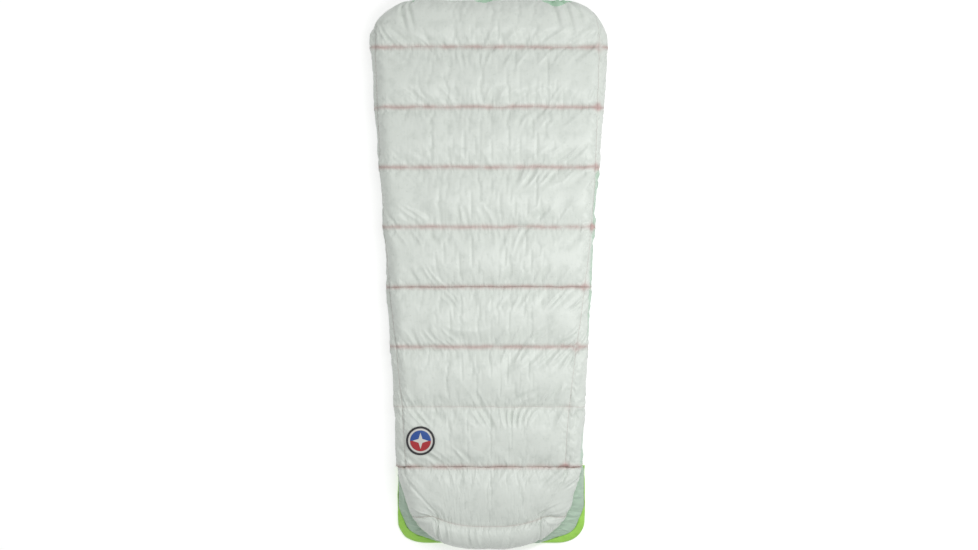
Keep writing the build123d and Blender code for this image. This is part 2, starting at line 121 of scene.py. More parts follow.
def value_noise(u: Points, v: Points, seed: int) -> Points:
    """Smooth noise on a plane.

    Args:
        u: first coordinate, where one unit is one cell.
        v: second coordinate.
        seed: which pattern.

    Returns:
        Values from -1 to 1, of the same shape as u.
    """
    size = 64
    table = np.random.default_rng(seed).uniform(-1, 1, (size, size))
    iu, iv = np.floor(u).astype(int), np.floor(v).astype(int)
    fu, fv = smoothstep(u - iu), smoothstep(v - iv)

    def at(i: Points, j: Points) -> Points:
        """The table's value at a corner, wrapped round."""
        return table[i % size, j % size]

    low = at(iu, iv) * (1 - fu) + at(iu + 1, iv) * fu
    high = at(iu, iv + 1) * (1 - fu) + at(iu + 1, iv + 1) * fu
    return low * (1 - fv) + high * fv


def volume_of(mesh: bpy.types.Mesh) -> float:
    """The volume inside a closed mesh, below zero where its faces point inwards.

    Args:
        mesh: a mesh without holes.

    Returns:
        The volume in cubic metres.
    """
    mesh.calc_loop_triangles()
    corners = np.zeros(len(mesh.loop_triangles) * 3, int)
    mesh.loop_triangles.foreach_get("vertices", corners)
    places = np.zeros(len(mesh.vertices) * 3)
    mesh.vertices.foreach_get("co", places)
    a, b, c = np.moveaxis(places.reshape(-1, 3)[corners.reshape(-1, 3)], 1, 0)
    return float((a * np.cross(b, c)).sum() / 6)


def mesh_object(
    name: str, points: Points, faces: list, smooth: bool = True, closed: bool = True
) -> bpy.types.Object:
    """Makes a mesh object from points and faces.

    Args:
        name: the object's name.
        points: one row of x, y, z per vertex, in metres.
        faces: tuples of vertex numbers.
        smooth: whether its faces are shaded smooth.
        closed: whether it has an inside, which its faces then point away from.

    Returns:
        The object, linked to the scene.
    """
    mesh = bpy.data.meshes.new(name)
    mesh.from_pydata([tuple(p) for p in np.asarray(points, float)], [], [tuple(f) for f in faces])
    mesh.update()
    mesh.polygons.foreach_set("use_smooth", [smooth] * len(mesh.polygons))
    if closed and volume_of(mesh) < 0:
        mesh.flip_normals()
    obj = bpy.data.objects.new(name, mesh)
    bpy.context.scene.collection.objects.link(obj)
    return obj


def coordinates(obj: bpy.types.Object) -> Points:
    """The vertices of a mesh object, one row each.

    Args:
        obj: the mesh object.

    Returns:
        A table of x, y and z.
    """
    flat = np.zeros(len(obj.data.vertices) * 3)
    obj.data.vertices.foreach_get("co", flat)
    return flat.reshape(-1, 3)


def set_coordinates(obj: bpy.types.Object, points: Points) -> None:
    """Moves a mesh object's vertices."""
    obj.data.vertices.foreach_set("co", np.asarray(points, float).ravel())
    obj.data.update()


def set_attribute(obj: bpy.types.Object, name: str, values: Points) -> None:
    """Stores one number per vertex under a name."""
    attribute = obj.data.attributes.get(name) or obj.data.attributes.new(name, "FLOAT", "POINT")
    attribute.data.foreach_set("value", np.asarray(values, np.float32).ravel())


def apply_modifiers(obj: bpy.types.Object) -> None:
    """Turns an object's modifiers into its mesh.

    Args:
        obj: the object; its mesh is replaced.
    """
    graph = bpy.context.evaluated_depsgraph_get()
    mesh = bpy.data.meshes.new_from_object(obj.evaluated_get(graph), depsgraph=graph)
    obj.modifiers.clear()
    obj.data = mesh


def grid_faces(rows: int, columns: int) -> list:
    """The quads of a grid stored row by row.

    Args:
        rows: how many rows of points.
        columns: how many points in a row.

    Returns:
        Four vertex numbers for each face.
    """
    i, j = np.meshgrid(np.arange(rows - 1), np.arange(columns - 1), indexing="ij")
    first = (i * columns + j).ravel()
    return np.stack([first, first + 1, first + columns + 1, first + columns], 1).tolist()


def refine(grid: Points) -> Points:
    """Doubles a grid's rows and columns along smooth curves through its points.

    Args:
        grid: values at rows and columns, of any kind.

    Returns:
        The finer grid, which keeps every given point.
    """
    for axis in (0, 1):
        g = np.moveaxis(grid, axis, 0)
        ends = np.concatenate([2 * g[:1] - g[1:2], g, 2 * g[-1:] - g[-2:-1]])
        middle = (-ends[:-3] + 9 * ends[1:-2] + 9 * ends[2:-1] - ends[3:]) / 16
        out = np.empty((2 * len(g) - 1, *g.shape[1:]))
        out[0::2], out[1::2] = g, middle
        grid = np.moveaxis(out, 0, axis)
    return grid


# ---- the quilt's plan ---------------------------------------------------------------------------
@dataclass
class Plan:
    """Sizes of the quilt, read from the frame, in metres.

    Every grid of the quilt is laid out by rows along its length and columns round its C-shaped
    section: across the top, round a side and along a flap to the hem.
    """

    corner: float = 146 * MM
    corner_power: float = 1.9
    shoulder_half: float = 421 * MM
    toe_half: float = 324 * MM
    taper_power: float = 1.3
    roll_start: float = 35 * MM
    crest: float = 52 * MM
    seam: float = 39 * MM
    side_seam: float = 54 * MM
    lining_crest: float = 20 * MM
    lining_seam: float = 30 * MM
    ground: float = 1.5 * MM
    puff_power: float = 0.55
    neck_end: float = 20 * MM
    tube_gap: float = 0.8 * MM
    tube_end: float = 12 * MM
    tube_ease: float = 14 * MM
    long_seam_right: tuple = (265 * MM, 124 * MM)
    long_seam_left: tuple = (298 * MM, 112 * MM)
    long_seam_run: float = 1050 * MM
    seams: list = field(default_factory=list)

    def __post_init__(self) -> None:
        """Reads the places of the seams and the ends."""
        self.seams = [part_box(f"baffle_wall_{k:02d}")[1].y - 0.5 * MM for k in range(1, 10)]
        low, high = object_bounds()
        self.foot, self.head = low[1], high[1]
        self.axis_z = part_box("body_top_panel")[1].z / 2
        self.ring = self.axis_z
        self.hem_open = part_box("body_hem_right")[0].x
        self.neck_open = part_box("head_hem_right")[0].x

    def half(self, y: Points) -> Points:
        """Half the quilt's width at a station, with the round head corners.

        Args:
            y: one station or more.

        Returns:
            The half width there.
        """
        y = np.asarray(y, float)
        share = np.clip((y - self.seams[8]) / (self.seams[0] - self.seams[8]), 0.0, 1.0)
        wide = self.toe_half + (self.shoulder_half - self.toe_half) * share**self.taper_power
        turn = np.clip((y - (self.head - self.corner)) / self.corner, 0.0, 0.99)
        return wide - self.corner * (1 - (1 - turn**self.corner_power) ** (1 / self.corner_power))

    def hem_half(self, y: Points) -> Points:
        """Half the back opening at a station; the foot's tube is closed by a middle seam.

        Args:
            y: one station or more.

        Returns:
            Half the opening there.
        """
        y = np.asarray(y, float)
        fold, tube = self.seams[1], self.seams[6]
        share = np.clip((y - fold) / (self.head - self.neck_end - fold), 0.0, 1.0)
        wide = self.hem_open + (self.neck_open - self.hem_open) * share
        closing = smoothstep((tube + self.tube_end - y) / self.tube_ease)
        return wide * (1 - closing) + self.tube_gap * closing

    def panel_seam(self, side: int, y: Points) -> Points:
        """How far round from the middle the long seam of a side runs, at a station."""
        near, spread = self.long_seam_right if side > 0 else self.long_seam_left
        return near + spread * smoothstep((np.asarray(y, float) - self.seams[7]) / self.long_seam_run)

    def puff(self, share: Points, low: float, high: float) -> Points:
        """A chamber's radius from one seam to the next, share from 0 to 1."""
        return low + (high - low) * np.sin(np.pi * np.clip(share, 0, 1)) ** self.puff_power


@dataclass
class Section:
    """Columns round the C, the same for shell and lining."""

    plan: Plan
    panel_columns: int = 52
    side_columns: int = 26
    flap_columns: int = 16
    seam_clear: float = 30 * MM

    def arc_stations(self, side: int, y: Points) -> Points:
        """How far round from the middle each column lies, for each row.

        Args:
            side: 1 for the right, -1 for the left.
            y: the rows' stations.

        Returns:
            One row of distances per station, from the middle to the hem.
        """
        plan = self.plan
        flat = plan.half(y) - plan.ring
        end = flat + math.pi * plan.ring
        hem = end + flat - plan.hem_half(y)
        seam = plan.panel_seam(side, y)
        knots = [np.zeros_like(y), np.minimum(seam, end - self.seam_clear), end, hem]
        counts = (self.panel_columns, self.side_columns, self.flap_columns)
        pieces = []
        for count, a, b in zip(counts, knots, knots[1:]):
            share = np.linspace(0, 1, count, endpoint=False)
            pieces.append(a[:, None] + (b - a)[:, None] * share[None, :])
        return np.concatenate([*pieces, hem[:, None]], 1)

    def stations(self, y: Points) -> Points:
        """Signed distances round from the middle, left hem to right hem, for each row.

        Args:
            y: the rows' stations.

        Returns:
            One row of distances per station.
        """
        right = self.arc_stations(1, y)
        left = self.arc_stations(-1, y)
        return np.concatenate([-left[:, :0:-1], right], 1)

    def seam_columns(self) -> tuple:
        """The numbers of the two columns that the long seams follow."""
        middle = self.panel_columns + self.side_columns + self.flap_columns
        return middle - self.panel_columns, middle + self.panel_columns

    def turned(self, around: Points, y: Points) -> Points:
        """The angle round the side at each column: 0 on top, pi underneath."""
        flat = self.plan.half(y) - self.plan.ring
        return np.clip((np.abs(around) - flat[:, None]) / self.plan.ring, 0, math.pi)

    def place(self, around: Points, y: Points, radius: Points) -> Points:
        """Points on the C, from the distance round, the station and the radius.

        Args:
            around: signed distance round from the middle, one row per station.
            y: the rows' stations, or a grid of them.
            radius: distance from the side line, as a grid or a column of rows.

        Returns:
            A grid of points.
        """
        plan = self.plan
        y = np.broadcast_to(y if np.ndim(y) == 2 else np.asarray(y)[:, None], around.shape)
        radius = np.broadcast_to(radius, around.shape)
        flat = plan.half(y) - plan.ring
        s = np.abs(around)
        angle = np.clip((s - flat) / plan.ring, 0, math.pi)
        beyond = np.clip(s - flat - math.pi * plan.ring, 0, None)
        x = np.where(s < flat, s, flat + radius * np.sin(angle) - beyond)
        z = plan.axis_z + radius * np.cos(angle)
        return np.stack([np.sign(around) * x, y, z], -1)


# ---- cloth --------------------------------------------------------------------------------------
@dataclass(frozen=True)
class Inflation:
    """How a quilted fabric is blown up by the down under it."""

    pressure: float = 4.0
    grow: float = 0.014
    frames: int = 18
    limit: float = 18 * MM

    def run(self, obj: bpy.types.Object, pins: Points, steps: int = 4) -> None:
        """Simulates the fabric between its sewn lines and applies the result.

        Args:
            obj: the fabric; its shape is changed.
            pins: 1 where a vertex is sewn down, 0 where it is free.
            steps: solver steps per frame.
        """
        before = coordinates(obj)
        group = obj.vertex_groups.new(name="sewn")
        group.add([int(i) for i in np.flatnonzero(pins > 0.5)], 1.0, "REPLACE")
        cloth = obj.modifiers.new("cloth", "CLOTH")
        settings = cloth.settings
        settings.quality = steps
        settings.mass = 0.08
        settings.tension_stiffness = 12
        settings.compression_stiffness = 6
        settings.shear_stiffness = 3
        settings.bending_stiffness = 0.02
        settings.air_damping = 2.0
        settings.use_pressure = True
        settings.uniform_pressure_force = self.pressure
        settings.vertex_group_mass = "sewn"
        settings.pin_stiffness = 1.0
        settings.shrink_min = -self.grow
        settings.effector_weights.gravity = 0.0
        cloth.collision_settings.use_collision = False
        cloth.collision_settings.use_self_collision = False
        cloth.point_cache.frame_start = 1
        cloth.point_cache.frame_end = self.frames
        scene = bpy.context.scene
        for frame in range(1, self.frames + 1):
            scene.frame_set(frame)
        graph = bpy.context.evaluated_depsgraph_get()
        after = coordinates(obj.evaluated_get(graph))
        obj.modifiers.clear()
        obj.vertex_groups.clear()
        scene.frame_set(1)
        moved = after - before
        length = np.linalg.norm(moved, axis=1, keepdims=True)
        capped = self.limit * np.tanh(length / self.limit)
        set_coordinates(obj, before + moved * capped / np.maximum(length, 1e-9))
        usual, most = np.median(length) / MM, length.max() / MM
        LOG.info("%s inflated by %.1f mm, at most %.1f mm", obj.name, usual, most)


# ---- shell and lining ---------------------------------------------------------------------------
class Face(Enum):
    """Which fabric a face of the padded quilt belongs to."""

    SHELL = 0
    LINING = 1


@dataclass
class Grid:
    """One fabric as a grid of points, with the marks that its material reads.

    The marks are, in order: distance to the nearest seam in millimetres, how much of the inner
    walls' colour shows through, distance round the quilt and along it, both in metres, and how
    much of the mint edge fabric shows.
    """

    points: Points
    marks: Points

    @property
    def shape(self) -> tuple:
        """Rows and columns."""
        return self.points.shape[:2]

    def refined(self) -> "Grid":
        """The same grid with twice the rows and columns."""
        return Grid(refine(self.points), refine(self.marks))

    def rows(self, first: int, last: int) -> "Grid":
        """Some of its rows, last included."""
        return Grid(self.points[first : last + 1], self.marks[first : last + 1])


MARKS = ("seam_mm", "tint", "around", "along", "mint")


def blown(grid: Points, pins: Points, cloth: Inflation, name: str) -> Points:
    """A grid of points after its fabric is inflated between its pins.

    Args:
        grid: the fabric as cut.
        pins: 1 where it is sewn down, of the same rows and columns.
        cloth: how it is inflated.
        name: what the log calls it.

    Returns:
        The inflated grid.
    """
    rows, columns = grid.shape[:2]
    faces = [face[::-1] for face in grid_faces(rows, columns)]
    obj = mesh_object(name, grid.reshape(-1, 3), faces, closed=False)
    cloth.run(obj, pins.ravel())
    out = coordinates(obj).reshape(rows, columns, 3)
    bpy.data.objects.remove(obj)
    return out


def normals_of(points: Points) -> Points:
    """Unit normals of a grid, from its rows and columns.

    Args:
        points: the grid.

    Returns:
        One direction per point, outwards where the grid is a shell.
    """
    across = np.gradient(points, axis=1)
    along = np.gradient(points, axis=0)
    normal = np.cross(along, across)
    return normal / np.maximum(np.linalg.norm(normal, axis=-1, keepdims=True), 1e-12)


def bridge(outer: list, inner: list, fold: int) -> list:
    """Faces that join a fine edge to a coarse one.

    Args:
        outer: vertex numbers along the fine edge.
        inner: vertex numbers along the coarse edge, half as many.
        fold: 1 or -1, which way the faces turn.

    Returns:
        Triangles.
    """
    faces = []
    for i in range(len(inner) - 1):
        a, b, c = outer[2 * i], outer[2 * i + 1], outer[2 * i + 2]
        p, q = inner[i], inner[i + 1]
        faces += [(a, b, p), (b, q, p), (b, c, q)]
    return faces if fold > 0 else [face[::-1] for face in faces]


def padded_mesh(name: str, outer: Grid, inner: Grid) -> bpy.types.Object:
    """Joins shell and lining along all four edges into one closed, padded piece.

    Args:
        name: the piece's name.
        outer: the shell, with twice the lining's rows and columns.
        inner: the lining.

    Returns:
        The piece, with both materials' faces numbered as in Face.
    """
    (ro, co), (ri, ci) = outer.shape, inner.shape
    o = np.arange(ro * co).reshape(ro, co)
    n = np.arange(ri * ci).reshape(ri, ci) + ro * co
    shell = grid_faces(ro, co)
    lining = [face[::-1] for face in (np.array(grid_faces(ri, ci)) + ro * co).tolist()]
    rim = []
    ends = ((o[0], n[0], -1), (o[-1], n[-1], 1))
    sides = ((o[:, 0], n[:, 0], 1), (o[:, -1], n[:, -1], -1))
    for fine, coarse, fold in ends + sides:
        rim += bridge(fine.tolist(), coarse.tolist(), fold)
    points = np.concatenate([outer.points.reshape(-1, 3), inner.points.reshape(-1, 3)])
    obj = mesh_object(name, points, shell + lining + rim)
    kinds = [Face.SHELL.value] * len(shell) + [Face.LINING.value] * (len(lining) + len(rim))
    obj.data.polygons.foreach_set("material_index", kinds)
    for i, mark in enumerate(MARKS):
        both = [outer.marks[..., i].ravel(), inner.marks[..., i].ravel()]
        set_attribute(obj, mark, np.concatenate(both))
    obj.data.update()
    return obj


@dataclass(frozen=True)
class Folds:
    """The folds that run off each sewn line and lean outwards on both sides.

    A width is measured round the quilt and a run along it, in metres. Reaches off a seam are in
    millimetres, as the seam_mm mark is.
    """

    lean: float = 0.85
    lean_width: float = 170 * MM
    lean_wander: float = 0.7
    near: tuple = (8, 11)
    far: tuple = (36, 34)
    sewn: float = 9
    fine_size: tuple = (10 * MM, 70 * MM)
    broad_size: tuple = (27 * MM, 120 * MM)
    slack_size: tuple = (62 * MM, 85 * MM)
    fine_share: float = 0.6
    broad_share: float = 1.4
    slack_share: float = 1.1
    fade_from: float = 55 * MM
    fade_run: float = 40 * MM
    side_width: float = 200 * MM

    def add(self, grid: Grid, seams: list, seed: int, depth: float) -> Grid:
        """Folds a fabric.

        Args:
            grid: the fabric, already inflated.
            seams: the stations of the seams across.
            seed: which pattern.
            depth: height of the folds at a seam.

        Returns:
            The fabric with its folds.
        """
        away, around, along = grid.marks[..., 0], grid.marks[..., 2], grid.marks[..., 3]
        lines = np.array(seams)
        signed = along - lines[np.abs(along[..., None] - lines).argmin(-1)]
        wander = self.lean_wander * value_noise(around * 7, along * 5, seed + 5)
        lean = self.lean * np.tanh(around / self.lean_width) + wander
        off = around - lean * signed
        near, far = (np.exp(-(((away - at) / reach) ** 2)) for at, reach in (self.near, self.far))
        fine = 1 - 2.4 * np.abs(value_noise(off / self.fine_size[0], along / self.fine_size[1], seed))
        broad = 1 - 2.6 * np.abs(value_noise(off / self.broad_size[0], along / self.broad_size[1], seed + 1))
        slack = value_noise(around / self.slack_size[0], along / self.slack_size[1], seed + 2)
        fade = 1 - smoothstep((np.abs(signed) - self.fade_from) / self.fade_run)
        sewn = 1 - np.exp(-((away / self.sewn) ** 2))
        strong = 0.75 + 0.45 * value_noise(around * 5, along * 6, seed + 3)
        strong = strong + 0.2 * np.tanh(around / self.side_width)
        creases = near * fine * self.fine_share + far * broad * strong * self.broad_share
        push = depth * (fade * creases + sewn * slack * self.slack_share)
        return Grid(grid.points + normals_of(grid.points) * push[..., None], grid.marks)


def settled(grid: Grid, plan: Plan, ceiling: float) -> Grid:
    """Rests a fabric on the ground and keeps it under its full height, both softly.

    Args:
        grid: the fabric.
        plan: the quilt's sizes.
        ceiling: the most that it may stand over the floor.

    Returns:
        The fabric between floor and ceiling.
    """
    points = grid.points.copy()
    soft = 2 * MM
    z = points[..., 2]
    z = plan.ground + soft * np.logaddexp(0, (z - plan.ground) / soft)
    points[..., 2] = ceiling - soft * np.logaddexp(0, (ceiling - z) / soft)
    return Grid(points, grid.marks)


@dataclass
class PaddedBody:
    """The padded C from the head end to the foot's last full seam, in two halves."""

    plan: Plan
    section: Section
    cloth: Inflation
    chamber_rows: int = 28
    roll_rows: int = 9
    collar_rows: int = 18
    lip_top: float = 8 * MM
    lip_low: float = 40 * MM
    hem_shell: float = 47 * MM
    hem_lining: float = 44 * MM
    hem_ease: float = 50 * MM
    dip: float = 5 * MM
    dip_width: float = 7 * MM
    dip_clear: float = 2 * MM
    side_run: float = 90 * MM
    wobble_reach: float = 12 * MM
    wobble_lift: tuple = (34 * MM, 1.4 * MM)
    wobble_shift: tuple = (41 * MM, 2.0 * MM)
    folds: Folds = Folds()
    fold_depth: float = 2.7 * MM
    lining_folds: float = 0.8
    split_seam: int = 4
    ceiling: float = 136 * MM
    plain_seams: tuple = (6, 8)
    plain_tint: float = 0.15
    seam_tint: tuple = (7 * MM, 0.75)
    corner_tint: tuple = (15 * MM, 0.9)
    gathers: tuple = (
        (-312 * MM, 8 * MM, 11 * MM, 130 * MM),
        (-283 * MM, 7 * MM, 10 * MM, 120 * MM),
        (218 * MM, 9 * MM, 10 * MM, 120 * MM),
        (262 * MM, 8 * MM, 8 * MM, 140 * MM),
        (300 * MM, 8 * MM, 8 * MM, 110 * MM),
    )
    mint_angle: tuple = (0.95, 2.6)
    mint_run: tuple = (-230 * MM, 400 * MM)
    mint_ease: float = 60 * MM
    peeks: tuple = ((232 * MM, 38 * MM, 1.0), (-20 * MM, 30 * MM, 0.4))
    peek_depth: float = 22 * MM
    peek_least: float = 0.15

    def collar(self, of_lining: bool, lip: float) -> tuple:
        """Stations and radii of the collar's rows, from the head edge to the first seam.

        Args:
            of_lining: whether it is the lining.
            lip: the head edge's radius.

        Returns:
            The stations and the radii.
        """
        plan = self.plan
        crest, seam = (plan.lining_crest, plan.lining_seam) if of_lining else (plan.crest, plan.seam)
        middle, half = (plan.crest + lip) / 2, (plan.crest - lip) / 2
        turn = np.linspace(math.pi / 2, math.pi if of_lining else 0.0, self.roll_rows)
        start = plan.head - plan.roll_start
        y_roll = start + plan.roll_start * np.sin(turn)
        r_roll = middle + half * np.cos(turn)
        share = np.linspace(0, 1, self.collar_rows + 1)[1:]
        y_flat = start + (plan.seams[0] - start) * share
        edge = r_roll[-1]
        swell = np.where(share < 0.5, crest, plan.puff(1 - share, seam, crest))
        r_flat = edge + (swell - edge) * smoothstep(share * 2.5)
        return np.concatenate([y_roll, y_flat]), np.concatenate([r_roll, r_flat])

    def rows(self, of_lining: bool, lip: float) -> tuple:
        """Stations, radii and the numbers of the rows that are seams, head first.

        Args:
            of_lining: whether it is the lining.
            lip: the head edge's radius.

        Returns:
            The stations, the radii and the seam rows.
        """
        plan = self.plan
        low, high = (plan.lining_seam, plan.lining_crest) if of_lining else (plan.seam, plan.crest)
        y, r = self.collar(of_lining, lip)
        stations, radii, seams = [y], [r], [len(y) - 1]
        for k in range(7):
            share = np.linspace(0, 1, self.chamber_rows + 1)[1:]
            stations.append(plan.seams[k] + (plan.seams[k + 1] - plan.seams[k]) * share)
            radii.append(plan.puff(share, low, high))
            seams.append(seams[-1] + self.chamber_rows)
        return np.concatenate(stations), np.concatenate(radii), seams

    def radii(self, of_lining: bool, y: Points, around: Points, angle: Points) -> Points:
        """The distance of every point from the side line, before the seams are pulled in.

        Args:
            of_lining: whether it is the lining.
            y: the rows' stations.
            around: signed distance round from the middle.
            angle: angle round the side.

        Returns:
            A radius for every point.
        """
        plan = self.plan
        _, top, _ = self.rows(of_lining, self.lip_top)
        _, low, _ = self.rows(of_lining, self.lip_low)
        radius = top[:, None] + (low - top)[:, None] * smoothstep(angle / (0.5 * math.pi))
        if not of_lining:
            below = (y < plan.seams[0] + self.side_run)[:, None]
            sewn = np.clip((plan.crest - radius) / (plan.crest - plan.seam), 0, 1) * below
            radius += (plan.side_seam - plan.seam) * sewn * np.sin(angle)
        to_hem = np.minimum(around - around[:, :1], around[:, -1:] - around)
        hem = self.hem_lining if of_lining else self.hem_shell
        radius += (hem - radius) * (1 - smoothstep(to_hem / self.hem_ease))
        return radius

    def mint(self, around: Points, along: Points, angle: Points) -> Points:
        """How much of the mint edge fabric shows, low on the right side.

        Args:
            around: signed distance round from the middle.
            along: stations.
            angle: angle round the side.

        Returns:
            A share from 0 to 1 for every point.
        """
        first, last = self.mint_angle
        outer_edge = smoothstep((angle - first) / 0.25) * (angle < last) * (around > 0)
        low, high = self.mint_run
        reach = smoothstep((high - along) / self.mint_ease) * smoothstep((along - low) / self.mint_ease)
        foot = smoothstep((self.plan.seams[6] - self.mint_ease - along) / self.mint_ease)
        return outer_edge * np.maximum(reach, foot)

    def tints(self, cross: Points, to_right: Points, nearest: Points) -> Points:
        """How much of the walls' colour shows, from the distances to the seams.

        Args:
            cross: distance to the nearest seam across.
            to_right: distance to the right long seam.
            nearest: which seam across is nearest, for each row.

        Returns:
            A share from 0 to 1 for every point.
        """
        reach, share = self.seam_tint
        tint = np.exp(-((cross / reach) ** 2)) * share
        reach, share = self.corner_tint
        tint += share * np.exp(-((cross / reach) ** 2)) * np.exp(-((to_right / reach) ** 2))
        strength = np.where(np.isin(nearest, self.plain_seams), self.plain_tint, 1.0)[:, None]
        return np.clip(tint * strength, 0, 1)

    def grid(self, of_lining: bool) -> tuple:
        """The fabric before it is inflated, and the numbers of its seam rows.

        Args:
            of_lining: whether it is the lining.

        Returns:
            The grid and the seam rows.
        """
        plan, section = self.plan, self.section
        y, _, seams = self.rows(of_lining, self.lip_top)
        around = section.stations(y)
        angle = section.turned(around, y)
        radius = self.radii(of_lining, y, around, angle)
        long_seams = np.stack([np.abs(around - around[:, [c]]) for c in section.seam_columns()])
        to_long = long_seams.min(0)
        to_cross = np.abs(y[:, None] - np.array(plan.seams[:8])[None, :])
        nearest = to_cross.argmin(1)
        if not of_lining:
            groove = self.dip * np.exp(-((to_long / self.dip_width) ** 2))
            radius -= groove * (radius > plan.seam + self.dip)
            wobble = np.exp(-((to_cross.min(1) / self.wobble_reach) ** 2))[:, None]
            width, lift = self.wobble_lift
            which = nearest[:, None] + 0 * around
            radius += wobble * value_noise(around / width, which * 7.3, 11) * lift
            width, shift = self.wobble_shift
            y = y[:, None] + wobble * value_noise(around / width, which * 5.1, 12) * shift
        points = section.place(around, y, radius)
        cross = np.repeat(to_cross.min(1)[:, None], around.shape[1], 1)
        away = np.minimum(cross, to_long + self.dip_clear) / MM
        tint = self.tints(cross, long_seams[1], nearest)
        along = np.broadcast_to(y if y.ndim == 2 else y[:, None], around.shape)
        marks = [away, tint, around, along, self.mint(around, along, angle)]
        return Grid(points, np.stack(marks, -1)), seams

    def pins(self, shape: tuple, seams: list) -> Points:
        """1 where the shell is sewn: seams, head edge and hems.

        Args:
            shape: rows and columns.
            seams: the numbers of the seam rows.

        Returns:
            1 or 0 for every point.
        """
        pins = np.zeros(shape)
        pins[seams] = 1
        pins[0] = 1
        pins[:, [0, 1, -2, -1]] = 1
        for column in self.section.seam_columns():
            pins[:, column] = 1
        return pins

    def build(self) -> list:
        """Builds both halves.

        Returns:
            The head half and the foot half.
        """
        outer, seams = self.grid(False)
        inner, _ = self.grid(True)
        pins = self.pins(outer.shape, seams)
        outer.points = blown(outer.points, pins, self.cloth, "shell_fabric")
        outer = self.gathered(self.folds.add(outer.refined(), self.plan.seams, 21, self.fold_depth))
        outer = settled(outer, self.plan, self.ceiling)
        inner = self.folds.add(inner, self.plan.seams, 31, self.fold_depth * self.lining_folds)
        lifted = outer.points + normals_of(outer.points) * STITCH_LIFT
        split = 2 * seams[self.split_seam]
        self.seam_lines = [lifted[2 * row, 4:-4] for row in seams]
        self.long_lines = [lifted[:, 2 * column] for column in self.section.seam_columns()]
        self.hem_lines = [outer.points[:, 0], outer.points[:, -1]]
        self.split_row = split
        self.wall_rows = [(outer.points[2 * row, ::2], inner.points[row]) for row in seams]
        halves = []
        parts = (("padded_head_half", 0, split // 2), ("padded_foot_half", split // 2, seams[-1]))
        for name, first, last in parts:
            shell, lining = outer.rows(2 * first, 2 * last), inner.rows(first, last)
            half = padded_mesh(name, shell, lining)
            if first == 0:
                self.turn_out_lining(half, shell)
            halves.append(half)
            LOG.info("%s: %d faces", name, len(half.data.polygons))
        return halves

    def gathered(self, outer: Grid) -> Grid:
        """Presses in the deep gathers where the drawcord pulls the head corners in.

        Args:
            outer: the inflated shell.

        Returns:
            The shell with its gathers.
        """
        x, y = outer.marks[..., 2], outer.marks[..., 3]
        push = 0 * x
        for place, width, depth, run in self.gathers:
            length = smoothstep((y - (self.plan.head - run)) / (run * 0.6))
            lean = 0.25 * (self.plan.head - y)
            push += depth * length * np.exp(-(((x - place - lean) / width) ** 2))
        return Grid(outer.points - normals_of(outer.points) * push[..., None], outer.marks)

    def turn_out_lining(self, half: bpy.types.Object, shell: Grid) -> None:
        """Lets the lining show over the head edge in two places.

        Args:
            half: the head half.
            shell: its shell, whose faces come first in its mesh.
        """
        x, y = shell.points[:-1, :-1, 0], shell.points[:-1, :-1, 1]
        top = np.abs(shell.marks[:-1, :-1, 2]) < self.plan.half(self.plan.seams[0])
        wide = 0 * x
        for middle, width, share in self.peeks:
            wide += share * np.exp(-(((x - middle) / width) ** 2))
        shows = top & (y > self.plan.head - self.peek_depth * wide) & (wide > self.peek_least)
        for i in np.flatnonzero(shows.ravel()):
            half.data.polygons[int(i)].material_index = Face.LINING.value


